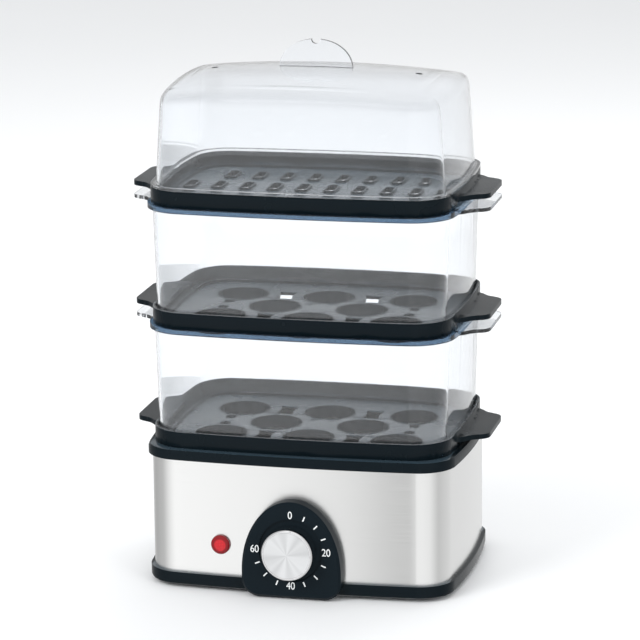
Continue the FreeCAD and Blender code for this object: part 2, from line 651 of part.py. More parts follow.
# Steel sleeve: one band of sheet with the holes for dial, lamp and cord bush
def make_sleeve():
    body = new_body("steel_sleeve")
    plan = ring_sketch(body, "plan", SLEEVE_BOTTOM, [("0", "base_corner"), ("0 - sleeve_sheet", "base_corner")])
    pad(body, "band", plan, "sleeve_height")
    front = new_sketch(body, "front_holes", "XZ_Plane", "half_depth + clear_past")
    add_circle(front, "0", "dial_level", "boss_radius + fit_gap")
    add_circle(front, "lamp_x", "lamp_level", "lamp_neck + fit_gap")
    pocket(body, "front_cut", front, "cut_length")
    back = new_sketch(body, "back_holes", "XZ_Plane", "0 - half_depth - clear_past")
    add_circle(back, "0", "gland_level", "gland_radius + fit_gap")
    pocket(body, "back_cut", back, "cut_length", True)
    return node(body, "steel_sleeve")


# Top collar: black ring that closes the base and seats the lowest tray
def clamp_y(inset):
    """How far the outline lies from the middle at clamp_x, drawn in by inset."""
    return "(sqrt((%s - %s) ^ 2 - clamp_x ^ 2) - %s + half_depth)" % (FRONT_RADIUS, inset, FRONT_RADIUS)


CLAMP_Y = clamp_y("(bowl_flange_inset - clamp_boss_radius - fit_gap)")
WELL_INSET = "(container_top_inset + container_wall)"


def make_collar():
    body = new_body("top_collar")
    rounded_band(body, "ring", SLEEVE_TOP, "collar_height", "collar_overhang", "base_corner",
                 "collar_round", True)
    seat = "(%s)" % INNER_SEAT
    inner = "(%s - pan_wall)" % INNER_SEAT
    pad(body, "skirt", ring_sketch(body, "skirt_plan", SLEEVE_TOP, [(seat, "base_corner")]),
        "collar_skirt", True)
    pocket(body, "hollow", ring_sketch(body, "hollow_plan", PLATE_UNDER, [(inner, "base_corner")]),
           "collar_height + collar_skirt")
    posts = new_sketch(body, "post_plan", "XY_Plane", PLATE_UNDER + " + overlap")
    holes = new_sketch(body, "hole_plan", "XY_Plane", POST_BOTTOM)
    bosses = new_sketch(body, "boss_plan", "XY_Plane", PLATE_UNDER + " + overlap")
    pilots = new_sketch(body, "pilot_plan", "XY_Plane", FLANGE_UNDER)
    for sx, sy in CORNERS:
        x, y = sx + "(half_width - post_inset)", sy + "(half_depth - post_inset)"
        add_circle(posts, x, y, "post_radius")
        add_circle(holes, x, y, "screw_radius + thread_gap")
        add_circle(bosses, sx + "clamp_x", sy + CLAMP_Y, "clamp_boss_radius")
        add_circle(pilots, sx + "clamp_x", sy + CLAMP_Y, "small_screw_radius + thread_gap")
    pad(body, "posts", posts, "%s + overlap - %s" % (PLATE_UNDER, POST_BOTTOM), True)
    pad(body, "bosses", bosses, "%s + overlap - %s" % (PLATE_UNDER, FLANGE_UNDER), True)
    pocket(body, "post_pilots", holes, "screw_length", True)
    pocket(body, "boss_pilots", pilots, "seal_height + bowl_sheet + overlap", True)
    opening = ring_sketch(body, "opening_plan", PLATE_UNDER, [("0 - bowl_opening_inset", "bowl_corner")])
    pocket(body, "opening", opening, "collar_plate", True)
    recess = ring_sketch(body, "recess_plan", COLLAR_TOP, [("0 - " + WELL_INSET, "tier_corner")])
    pocket(body, "recess", recess, "well_recess")
    return node(body, "top_collar")


# Water bowl with its weld studs, seal and clamp screws
STUDS = [("strap_x", "0", "2 * element_radius + strap_sheet + nut_height + stud_end"),
         ("0 - strap_x", "0", "2 * element_radius + strap_sheet + nut_height + stud_end"),
         ("0", "thermostat_ear", "thermostat_height / 2 + strap_sheet + nut_height + stud_end / 2"),
         ("0", "0 - thermostat_ear", "thermostat_height / 2 + strap_sheet + nut_height + stud_end / 2")]


def make_bowl():
    body = new_body("heating_bowl")
    inset, deep = "0 - bowl_inset", "0 - bowl_inset - bowl_draft"
    outer = [(BOWL_UNDER, deep + " - bowl_round"), (BOWL_UNDER + " + bowl_round", deep),
             (FLANGE_UNDER, inset)]
    stack(body, "well", outer, "bowl_corner")
    flange = ring_sketch(body, "flange_plan", FLANGE_UNDER, [("0 - bowl_flange_inset", "bowl_corner")])
    pad(body, "flange", flange, "bowl_sheet")
    inner = [(BOWL_UNDER + " + bowl_sheet", deep + " - bowl_round - bowl_sheet / 2"),
             (BOWL_UNDER + " + bowl_sheet + bowl_round", deep + " - bowl_sheet"),
             (FLANGE_TOP, inset + " - bowl_sheet")]
    stack(body, "cavity", inner, "bowl_corner", False)
    for index, (x, y, length) in enumerate(STUDS):
        plan = new_sketch(body, "stud_plan_%d" % index, "XY_Plane", BOWL_UNDER)
        add_circle(plan, x, y, "stud_radius")
        pad(body, "stud_%d" % index, plan, length, True)
    return node(body, "heating_bowl")


def make_seal():
    body = new_body("bowl_seal")
    outer = "0 - bowl_flange_inset - seal_inset"
    inner = "0 - bowl_flange_inset - seal_inset - seal_width"
    plan = ring_sketch(body, "plan", FLANGE_TOP, [(outer, "bowl_corner"), (inner, "bowl_corner")])
    pad(body, "ring", plan, "seal_height")
    return node(body, "bowl_seal")


def make_bowl_screws():
    screws = []
    for index, (sx, sy) in enumerate(CORNERS):
        piece = screw("bowl_screw_%d" % (index + 1), "small_screw_radius",
                      "seal_height + bowl_sheet + clamp_end", "washer_radius", "washer_height")
        screws.append(place(piece, sx + "clamp_x", sy + CLAMP_Y, FLANGE_UNDER))
    return group("bowl_screws", screws)


# Heating tube: a loop against the bowl's underside with two cold ends turned down
BEND_CUTS = 3


def pipe_along(label, points, radius, bends):
    """A round tube along straight runs; each bend is made of short mitred runs."""
    spots = [FreeCAD.Vector(*point) for point in points]
    path = [spots[0]]
    for i in range(1, len(spots) - 1):
        into = (spots[i] - spots[i - 1]).normalize()
        away = (spots[i + 1] - spots[i]).normalize()
        turn = into.getAngle(away)
        centre = spots[i] + (away - into).normalize() * (bends[i - 1] / math.cos(turn / 2))
        reach = bends[i - 1] / math.cos(turn / (2 * BEND_CUTS))
        axis = into.cross(away)
        outward = (spots[i] - into * (bends[i - 1] * math.tan(turn / 2)) - centre).normalize()
        for cut in range(BEND_CUTS):
            swing = FreeCAD.Rotation(axis, math.degrees(turn * (cut + 0.5) / BEND_CUTS))
            path.append(centre + swing.multVec(outward) * reach)
    path.append(spots[-1])
    circle = Part.Wire([Part.Circle(path[0], path[1] - path[0], radius).toShape()])
    mitred = 1
    piece = doc.addObject("Part::Feature", label)
    piece.Shape = Part.makePolygon(path).makePipeShell([circle], True, False, mitred)
    return piece


def make_element():
    r, bend = value("element_radius"), value("element_bend")
    level = value(BOWL_UNDER) - r - value("bezel_gap")
    x, y = value("element_half_length"), value("element_half_width")
    gap, drop = value("element_gap"), level - value("element_drop")
    small = 3 * r
    points = [(-gap, y, drop), (-gap, y, level), (-x, y, level), (-x, -y, level),
              (x, -y, level), (x, y, level), (gap, y, level), (gap, y, drop)]
    piece = pipe_along("heating_element", points, r, [small, bend, bend, bend, bend, small])
    return node(piece, "heating_element")


def strap_body(label, x, y, half_x, half_y, top, sheet_text, hole):
    """A flat strap with a hole in its middle."""
    body = new_body(label)
    plan = new_sketch(body, "plan", "XY_Plane", top)
    add_polygon(plan, [(x + " - " + half_x, y + " - " + half_y), (x + " + " + half_x, y + " - " + half_y),
                       (x + " + " + half_x, y + " + " + half_y), (x + " - " + half_x, y + " + " + half_y)])
    add_circle(plan, x, y, hole)
    pad(body, "strap", plan, sheet_text, True)
    return body


STRAP_TOP = "(%s - 2 * element_radius - 2 * bezel_gap)" % BOWL_UNDER


def make_straps():
    straps = []
    for index, side in enumerate(("", "0 - ")):
        straps.append(strap_body("element_strap_%d" % (index + 1), side + "strap_x", "0", "strap_width / 2",
                                 "(element_half_width + strap_end)", STRAP_TOP, "strap_sheet",
                                 "stud_radius + fit_gap"))
    return group("element_straps", straps)


def make_nuts():
    """Hexagonal nuts on the four weld studs."""
    levels = ["%s - strap_sheet" % STRAP_TOP] * 2
    levels += ["%s - thermostat_height / 2 - strap_sheet" % BOWL_UNDER] * 2
    nuts = []
    for index, (x, y, length) in enumerate(STUDS):
        nut = new_body("stud_nut_%d" % (index + 1))
        plan = new_sketch(nut, "plan", "XY_Plane", levels[index])
        add_polygon(plan, [("%s + nut_radius * cos(%d * 1 deg)" % (x, turn),
                            "%s + nut_radius * sin(%d * 1 deg)" % (y, turn)) for turn in range(0, 360, 60)])
        add_circle(plan, x, y, "stud_radius + thread_gap")
        pad(nut, "nut", plan, "nut_height", True)
        nuts.append(nut)
    return group("stud_nuts", nuts)


def make_thermostat():
    """Disc thermostat: cap against the bowl, an eared flange, body and two blades."""
    body = turned("thermostat",
                  [("0", "0 - thermostat_height"), ("thermostat_radius", "0 - thermostat_height"),
                   ("thermostat_radius", "0"), ("0", "0")])
    ears = new_sketch(body, "ear_plan", "XY_Plane", "0 - thermostat_height / 2")
    reach, wide = "(thermostat_ear + ear_margin)", "ear_half_width"
    add_polygon(ears, [("0 - " + wide, "0 - " + reach), (wide, "0 - " + reach), (wide, reach),
                       ("0 - " + wide, reach)])
    add_circle(ears, "0", "thermostat_ear", "stud_radius + fit_gap")
    add_circle(ears, "0", "0 - thermostat_ear", "stud_radius + fit_gap")
    pad(body, "ears", ears, "strap_sheet", True)
    blades = new_sketch(body, "blade_plan", "XY_Plane", "0 - thermostat_height + overlap")
    y = "blade_half_width"
    for x0 in ("blade_x", "0 - blade_x - blade_sheet"):
        x1 = x0 + " + blade_sheet"
        add_polygon(blades, [(x0, "0 - " + y), (x1, "0 - " + y), (x1, y), (x0, y)])
    pad(body, "blades", blades, "blade_length", True)
    place(body, "0", "0", BOWL_UNDER)
    return node(body, "thermostat")


def make_fuse():
    """Thermal fuse lying against the bowl, and the spring clip that holds it there."""
    axis_level = "%s - fuse_radius - bezel_gap" % BOWL_UNDER
    along = FreeCAD.Rotation(FreeCAD.Vector(0, 1, 0), 90)
    fuse = turned("thermal_fuse", [("0", "0 - fuse_length / 2"), ("fuse_radius", "0 - fuse_length / 2"),
                                   ("fuse_radius", "fuse_length / 2"), ("0", "fuse_length / 2")], along)
    place(fuse, "0 - fuse_x", "0", axis_level)
    clip = new_body("fuse_clip")
    side = new_sketch(clip, "side", "YZ_Plane", "0 - fuse_x - clip_width / 2")
    sheet_t, r = "clip_sheet", "(fuse_radius + bezel_gap)"
    low, top = "(%s - fuse_radius)" % axis_level, BOWL_UNDER
    arm, foot = "(fuse_radius + bezel_gap + clip_sheet)", "(fuse_radius + clip_foot)"
    add_polygon(side, [("0 - " + foot, top), ("0 - " + r, top), ("0 - " + r, low), (r, low), (r, top),
                       (foot, top), (foot, top + " - " + sheet_t), (arm, top + " - " + sheet_t),
                       (arm, low + " - " + sheet_t), ("0 - " + arm, low + " - " + sheet_t),
                       ("0 - " + arm, top + " - " + sheet_t), ("0 - " + foot, top + " - " + sheet_t)])
    pad(clip, "band", side, "clip_width")
    node(fuse, "thermal_fuse")
    return node(clip, "fuse_clip")


# Terminal block on its pedestal, with its screw
TERMINAL_UNDER = "(foot_gap + pan_floor + pedestal_height)"


def make_terminal():
    body = new_body("terminal_block")
    plan = new_sketch(body, "plan", "XY_Plane", TERMINAL_UNDER)
    x, y = "terminal_width / 2", "terminal_depth / 2"
    add_polygon(plan, [("0 - " + x, "terminal_y - " + y), (x, "terminal_y - " + y),
                       (x, "terminal_y + " + y), ("0 - " + x, "terminal_y + " + y)])
    pad(body, "block", plan, "terminal_height")
    wires = new_sketch(body, "wire_plan", "XZ_Plane", "0 - terminal_y - terminal_depth / 2")
    tops = new_sketch(body, "top_plan", "XY_Plane", TERMINAL_UNDER + " + terminal_height")
    for side in ("0 - ", ""):
        add_circle(wires, side + "terminal_width / 3", TERMINAL_UNDER + " + wire_level", "wire_hole")
        add_circle(tops, side + "terminal_width / 3", "terminal_y", "wire_hole")
    pocket(body, "wire_holes", wires, "wire_hole_depth", True)
    pocket(body, "screw_ways", tops, "screw_way_depth")
    hole = new_sketch(body, "hole_plan", "XY_Plane", TERMINAL_UNDER)
    add_circle(hole, "0", "terminal_y", "small_screw_radius + fit_gap")
    pocket(body, "hole", hole, "terminal_height", True)
    node(body, "terminal_block")
    down = FreeCAD.Rotation(FreeCAD.Vector(1, 0, 0), 180)
    piece = screw("terminal_screw", "small_screw_radius", "terminal_height + pedestal_height - overlap",
                  "timer_head_radius", "timer_head_height", down)
    place(piece, "0", "terminal_y", TERMINAL_UNDER + " + terminal_height")
    return node(piece, "terminal_screw")


# Cord bush in the back of the sleeve; its origin is on the sleeve's outer face
def make_gland():
    tail, seat = "0 - sleeve_sheet - gland_tail", "0 - sleeve_sheet - fit_gap"
    lock = "0 - sleeve_sheet - fit_gap - gland_lock"
    points = [("gland_bore", tail), ("gland_radius - gland_edge", tail), ("gland_radius - gland_edge", lock),
              ("gland_radius + gland_catch", lock), ("gland_radius + gland_catch", seat),
              ("gland_radius", seat), ("gland_radius", "0"),
              ("gland_flange", "0"), ("gland_flange", "gland_flange_height - gland_edge"),
              ("gland_flange - gland_edge", "gland_flange_height"), ("gland_bore", "gland_flange_height")]
    body = turned("cord_gland", points, TO_BACK)
    place(body, "0", "half_depth", "gland_level")
    return node(body, "cord_gland")


# Dial bezel: the arched black plate in front, with its boss through the sleeve
def add_arch(sketch):
    """Half an ellipse on two short uprights, closed by a straight lower edge."""
    w, spring = value("bezel_half_width"), value("bezel_spring")
    rise, low = value("bezel_top") - spring, value("bezel_bottom")
    vec, make = FreeCAD.Vector, Sketcher.Constraint
    arch = Part.Ellipse(vec(0, spring + rise, 0), vec(-w, spring, 0), vec(0, spring, 0))
    sketch.addGeometry(Part.ArcOfEllipse(arch, -math.pi / 2, math.pi / 2), False)
    sketch.exposeInternalGeometry(0)
    first, last = sketch.Geometry[0].StartPoint, sketch.Geometry[0].EndPoint
    base = len(sketch.Geometry)
    sketch.addGeometry(Part.LineSegment(last, vec(last.x, low, 0)), False)
    sketch.addGeometry(Part.LineSegment(vec(last.x, low, 0), vec(first.x, low, 0)), False)
    sketch.addGeometry(Part.LineSegment(vec(first.x, low, 0), first), False)
    sketch.addConstraint([make("Coincident", 0, 2, base, 1), make("Coincident", base, 2, base + 1, 1),
                          make("Coincident", base + 1, 2, base + 2, 1), make("Coincident", base + 2, 2, 0, 1)])
    for end, spot, line in ((1, first, base + 1), (2, last, base)):
        sign = "" if spot.x > 0 else "0 - "
        tie(sketch, (make("DistanceX", -1, 1, 0, end, spot.x), sign + "bezel_half_width"),
            (make("DistanceY", -1, 1, 0, end, spot.y), "bezel_spring"),
            (make("DistanceX", -1, 1, line, 2, spot.x), sign + "bezel_half_width"),
            (make("DistanceY", -1, 1, line, 2, low), "bezel_bottom"))


def make_bezel():
    body = new_body("dial_bezel")
    face = new_sketch(body, "face", "XZ_Plane", BEZEL_FACE)
    add_arch(face)
    plate = pad(body, "plate", face, "bezel_reach + bezel_seat", True)
    w, low = value("bezel_half_width"), value("bezel_bottom")

    def lower_corner(edge):
        box = edge.BoundBox
        return near(abs(box.XMin), w) and near(box.XMin, box.XMax) and flat_at(edge, low)

    plate = round_edges(body, "corners", plate, lower_corner, "bezel_corner")
    front_y = 0 - value(BEZEL_FACE)

    def front_edge(edge):
        return near(edge.BoundBox.YMin, front_y) and near(edge.BoundBox.YMax, front_y)

    bevel_edges(body, "front_bevel", plate, front_edge, "bezel_bevel")
    skirt = ring_sketch(body, "skirt_plan", "0", [("skirt_overhang + bezel_gap", "base_corner")])
    pocket(body, "skirt_seat", skirt, SLEEVE_BOTTOM + " + bezel_gap", True)
    steel = ring_sketch(body, "steel_plan", "0", [("bezel_gap", "base_corner")])
    pocket(body, "steel_seat", steel, "bezel_top + clear_past", True)
    boss = new_sketch(body, "boss_plan", "XZ_Plane", "half_depth + overlap")
    add_circle(boss, "0", "dial_level", "boss_radius")
    pad(body, "boss", boss, "overlap + boss_depth", True)
    dish = new_sketch(body, "dish_plan", "XZ_Plane", BEZEL_FACE)
    add_circle(dish, "0", "dial_level", "dish_radius")
    pocket(body, "dish", dish, "dish_depth")
    ways = new_sketch(body, "way_plan", "XZ_Plane", BEZEL_FACE)
    heads = new_sketch(body, "head_plan", "XZ_Plane", BEZEL_FACE + " - dish_depth")
    add_circle(ways, "0", "dial_level", "shaft_radius + overlap")
    for side in ("0 - ", ""):
        add_circle(ways, side + "timer_screw_x", "dial_level", "small_screw_radius + fit_gap")
        add_circle(heads, side + "timer_screw_x", "dial_level", "timer_head_radius + fit_gap")
    pocket(body, "ways", ways, "bezel_reach + boss_depth + overlap")
    pocket(body, "head_seats", heads, "timer_head_seat")
    return node(body, "dial_bezel")


# Clockwork timer behind the dial
def make_timer():
    body = new_body("timer_case")
    plan = new_sketch(body, "plan", "XZ_Plane", TIMER_FRONT)
    half = "timer_size / 2"
    low, high = "dial_level - " + half, "dial_level + " + half
    add_polygon(plan, [("0 - " + half, low), (half, low), (half, high), ("0 - " + half, high)])
    block = pad(body, "block", plan, "timer_depth", True)
    size = value("timer_depth")
    round_edges(body, "corners", block, lambda edge: near(edge.BoundBox.YLength, size), "timer_corner")
    stem = new_sketch(body, "stem_plan", "XZ_Plane", TIMER_FRONT + " - timer_depth")
    add_circle(stem, "0", "dial_level", "shaft_radius")
    pad(body, "stem", stem, "bell_gap + bell_height - bell_sheet", True)
    bore = new_sketch(body, "bore_plan", "XZ_Plane", TIMER_FRONT)
    add_circle(bore, "0", "dial_level", "shaft_radius + run_gap")
    pocket(body, "bore", bore, "timer_bore_depth")
    pilots = new_sketch(body, "pilot_plan", "XZ_Plane", TIMER_FRONT)
    for side in ("0 - ", ""):
        add_circle(pilots, side + "timer_screw_x", "dial_level", "small_screw_radius + thread_gap")
    pocket(body, "pilots", pilots, "timer_screw_grip + 2")
    node(body, "timer_case")
    inner = "bell_radius - bell_sheet"
    bell = turned("timer_bell",
                  [("0", "bell_height - bell_sheet"), (inner, "bell_height - bell_sheet"), (inner, "0"),
                   ("bell_radius", "0"), ("bell_radius", "bell_height"), ("0", "bell_height")], TO_BACK)
    place(bell, "0", "timer_depth + bell_gap - (%s)" % TIMER_FRONT, "dial_level")
    node(bell, "timer_bell")
    screws = []
    for index, side in enumerate(("0 - ", "")):
        length = "bezel_reach - dish_depth - timer_head_seat + boss_depth + timer_screw_grip"
        piece = screw("timer_screw_%d" % (index + 1), "small_screw_radius", length,
                      "timer_head_radius", "timer_head_height", TO_BACK)
        screws.append(place(piece, side + "timer_screw_x", "timer_head_seat + dish_depth - (%s)" % BEZEL_FACE,
                            "dial_level"))
    return group("timer_screws", screws)


# Pilot lamp: its pieces stand square to the bowed steel
LAMP_Y = "(%s - half_depth - sqrt(%s ^ 2 - lamp_x ^ 2))" % (FRONT_RADIUS, FRONT_RADIUS)


def make_lamp():
    lean = math.degrees(math.asin(value("lamp_x") / value(FRONT_RADIUS)))
    square = FreeCAD.Rotation(FreeCAD.Vector(0, 0, 1), lean).multiply(TO_FRONT)
    lens = turned("lamp_lens",
                  [("0", "0 - lamp_neck_length"), ("lamp_neck", "0 - lamp_neck_length"), ("lamp_neck", "0"),
                   ("lamp_radius", "0"), ("lamp_radius", "lamp_rim"),
                   ("0.85 * lamp_radius", "lamp_rim + 0.45 * lamp_dome"),
                   ("0.6 * lamp_radius", "lamp_rim + 0.8 * lamp_dome"),
                   ("0.3 * lamp_radius", "lamp_rim + 0.95 * lamp_dome"), ("0", "lamp_rim + lamp_dome")], square)
    seat, far = "0 - sleeve_sheet - bezel_gap", "0 - sleeve_sheet - bezel_gap - lamp_nut_height"
    neck = "lamp_neck + thread_gap"
    nut = turned("lamp_nut", [(neck, far), ("lamp_nut_radius", far), ("lamp_nut_radius", seat), (neck, seat)],
                 square)
    near_end, far_end = "0 - lamp_neck_length", "0 - lamp_neck_length - lamp_body_length"
    holder = turned("lamp_body", [("0", far_end), ("lamp_body_radius", far_end),
                                  ("lamp_body_radius", near_end), ("0", near_end)], square)
    for piece, label in ((lens, "lamp_lens"), (nut, "lamp_nut"), (holder, "lamp_body")):
        place(piece, "lamp_x", LAMP_Y, "lamp_level")
        node(piece, label)


# Knob, its turned disc and the shaft they turn with; their origin is on the knob's back
KNOB_HEIGHT = "(knob_reach + dish_depth - knob_lift)"
KNOB_Y = "(knob_lift + half_depth + bezel_reach - dish_depth)"


def make_knob():
    top, web = KNOB_HEIGHT, KNOB_HEIGHT + " - knob_face"
    recess = top + " - cap_height"
    body = turned("timer_knob",
                  [("0", "0"), ("knob_hub", "0"), ("knob_hub", web), ("knob_radius - knob_wall", web),
                   ("knob_radius - knob_wall", "0"), ("knob_radius", "0"),
                   ("knob_radius", top + " - knob_bevel"), ("knob_radius - knob_bevel", top),
                   ("cap_radius + fit_gap", top), ("cap_radius + fit_gap", recess), ("0", recess)], TO_FRONT)
    bore = new_sketch(body, "bore_plan", "XY_Plane", "0")
    add_circle(bore, "0", "0", "shaft_radius + thread_gap")
    pocket(body, "bore", bore, "shaft_in_knob", True)
    flat = new_sketch(body, "flat_plan", "XY_Plane", "0")
    x0, x1 = "shaft_flat + thread_gap", "shaft_radius + overlap"
    add_polygon(flat, [(x0, "0 - shaft_radius"), (x1, "0 - shaft_radius"),
                       (x1, "shaft_radius"), (x0, "shaft_radius")])
    pad(body, "flat", flat, "shaft_in_knob + fit_gap")
    place(body, "0", "0 - " + KNOB_Y, "dial_level")
    node(body, "timer_knob")
    cap = turned("knob_cap", [("0", "0"), ("cap_radius", "0"), ("cap_radius", "cap_height"),
                              ("0", "cap_height")], TO_FRONT)
    place(cap, "0", "cap_height - knob_reach - (%s)" % BEZEL_FACE, "dial_level")
    node(cap, "knob_cap")
    inside = "(%s - %s + timer_bore_depth)" % (KNOB_Y, TIMER_FRONT)
    shaft = turned("timer_shaft", [("0", "0 - " + inside), ("shaft_radius", "0 - " + inside),
                                   ("shaft_radius", "shaft_in_knob"), ("0", "shaft_in_knob")], TO_FRONT)
    side = new_sketch(shaft, "flat_plan", "XY_Plane", "0")
    reach = "shaft_radius + overlap"
    add_polygon(side, [("shaft_flat", "0 - " + reach.replace("+", "-")), (reach, "0 - shaft_radius - overlap"),
                       (reach, reach), ("shaft_flat", reach)])
    pocket(shaft, "flat", side, "shaft_in_knob", True)
    place(shaft, "0", "0 - " + KNOB_Y, "dial_level")
    return node(shaft, "timer_shaft")


# Trays: a rim, a floor sunk into the piece below, and a handle at each end
def tray_level(index):
    return "(%s + %d * tier_pitch)" % (COLLAR_TOP, index)


def add_handles(body, root, tip, top, thickness, wall):
    """Two flat handles that widen where they meet the wall, with round corners."""
    for side, sign in (("right", ""), ("left", "0 - ")):
        plan = new_sketch(body, side + "_handle_plan", "XY_Plane", top)
        start = sign + "(%s)" % wall
        flare = sign + "(half_width - tier_inset + root_depth)"
        end = sign + "tab_reach"
        near_bend = "0.8 * tab_corner"
        sides = [(start, root + " + root_flare"), (flare, root),
                 (sign + "(tab_reach - tab_corner)", tip + " + 0.2 * tab_corner"),
                 (sign + "(tab_reach - 0.3 * tab_corner)", tip + " - 0.2 * tab_corner"),
                 (end, "%s - %s" % (tip, near_bend))]
        points = [(x, "0 - (%s)" % y) for x, y in sides]
        add_polygon(plan, points + list(reversed(sides)))
        pad(body, side + "_handle", plan, thickness, True)


def make_tray(label, index, cut_floor):
    body = new_body(label)
    under = tray_level(index)
    rim = "(%s + tray_height)" % under
    floor_top = "(%s - floor_depth)" % rim
    wall_in = "0 - tier_inset - tray_wall"
    pad(body, "band", ring_sketch(body, "band_plan", under, [("0 - tier_inset", "tier_corner")]), "tray_height")
    well = ring_sketch(body, "well_plan", under, [("0 - %s - well_gap" % WELL_INSET, "tier_corner")])
    pad(body, "well", well, "floor_thickness + floor_depth - tray_height", True)
    add_handles(body, "tray_tab_root", "tray_tab_tip", rim + " - tray_tab_drop", "tray_tab_height",
                "half_width - tier_inset - tray_wall / 2 - side_bow / 4")
    pocket(body, "hollow", ring_sketch(body, "hollow_plan", floor_top, [(wall_in, "tier_corner")]),
           "tray_height", True)
    cut_floor(body, floor_top)
    return node(body, label)


def cut_egg_floor(body, floor_top):
    """Eight egg holes in rows of three, two and three, with steam holes between them."""
    eggs = new_sketch(body, "egg_plan", "XY_Plane", floor_top)
    vents = new_sketch(body, "vent_plan", "XY_Plane", floor_top)
    slots = new_sketch(body, "slot_plan", "XY_Plane", floor_top)
    for row in ("egg_row", "0 - egg_row"):
        for x in ("0 - egg_pitch", "0", "egg_pitch"):
            add_circle(eggs, x, row, "egg_radius")
        for x in ("0 - egg_pitch / 2", "egg_pitch / 2"):
            add_waisted_slot(slots, x, row)
    for sign in ("", "0 - "):
        add_circle(eggs, sign + "egg_pitch / 2", "0", "egg_radius")
        for side in ("vent_hole_y", "0 - vent_hole_y"):
            add_circle(vents, sign + "vent_hole_x", side, "vent_hole_radius")
    pocket(body, "vents", vents, "floor_thickness")
    pocket(body, "slots", slots, "floor_thickness")
    pocket(body, "eggs", eggs, "floor_thickness")


def along_x(body, name, features, count, length):
    """Repeat features along X; the body keeps the result as its tip."""
    pattern = body.newObject("PartDesign::LinearPattern", body.Name + "_" + name)
    pattern.Originals = features
    pattern.Direction = (features[0].Profile[0], ["H_Axis"])
    bind(pattern, "Length", length)
    bind(pattern, "Occurrences", count)
    body.Tip = pattern
    return settle(pattern)


def cut_steam_floor(body, floor_top):
    """Rows of oblong steam slots; the middle row has one more slot at each end."""
    first = "(0 - (steam_columns - 3) / 2 * steam_pitch_x)"
    outer = "((steam_columns - 1) / 2 * steam_pitch_x)"
    rows = int(value("steam_rows"))
    slots = new_sketch(body, "slot_plan", "XY_Plane", floor_top)
    end_slots = new_sketch(body, "end_slot_plan", "XY_Plane", floor_top)
    for row in range(rows):
        y = "((%d - (steam_rows - 1) / 2) * steam_pitch_y)" % row
        add_slot(slots, first, y)
        if row not in (0, rows - 1):
            for side in ("", "0 - "):
                add_slot(end_slots, side + outer, y)
    column = pocket(body, "slots", slots, "floor_thickness")
    pocket(body, "end_slots", end_slots, "floor_thickness")
    along_x(body, "columns", [column], "steam_columns - 2", "(steam_columns - 3) * steam_pitch_x")


# Clear containers: drafted walls, a flange on top and a handle at each end
def make_container(label, index):
    body = new_body(label)
    foot = "(%s + tray_height - floor_depth)" % tray_level(index)
    top = tray_level(index + 1)
    foot_out = "0 - tier_inset - tray_wall - container_foot_gap"
    top_out = "0 - container_top_inset"
    stack(body, "wall", [(foot, foot_out), (top, top_out)], "tier_corner")
    under = "(%s - flange_height)" % top
    pad(body, "flange", ring_sketch(body, "flange_plan", under, [("flange_overhang", "tier_corner")]),
        "flange_height")
    add_handles(body, "container_tab_root", "container_tab_tip",
                under + " - container_tab_drop + container_tab_height", "container_tab_height",
                "half_width - container_top_inset - container_wall / 2 - side_bow / 4")
    stack(body, "inside", [(foot, foot_out + " - container_wall"), (top, top_out + " - container_wall")],
          "tier_corner", False)
    return node(body, label)


# Lid: drafted walls, a rounded shoulder and a crowned top, as a clear shell
SHOULDER_BANDS = 4


def lid_rings(shrink, lowest):
    """Levels and offsets of the lid's walls and shoulder, drawn in by shrink."""
    radius = "(lid_round - %s)" % shrink
    middle = "(%s + lid_shoulder - lid_round)" % LID_FOOT
    centre = "(0 - lid_inset - (lid_shoulder - lid_round) * tan(lid_draft * 1 deg) - lid_round)"
    rings = [(lowest, "0 - lid_inset - " + shrink)]
    for part in range(SHOULDER_BANDS + 1):
        angle = "(%.3f * (88 - lid_draft) * 1 deg + lid_draft * 1 deg)" % (part / SHOULDER_BANDS)
        rings.append(("%s + %s * sin%s" % (middle, radius, angle), "%s + %s * cos%s" % (centre, radius, angle)))
    rings.append((LID_FOOT + " + lid_crown + 1", rings[-1][1]))
    return rings


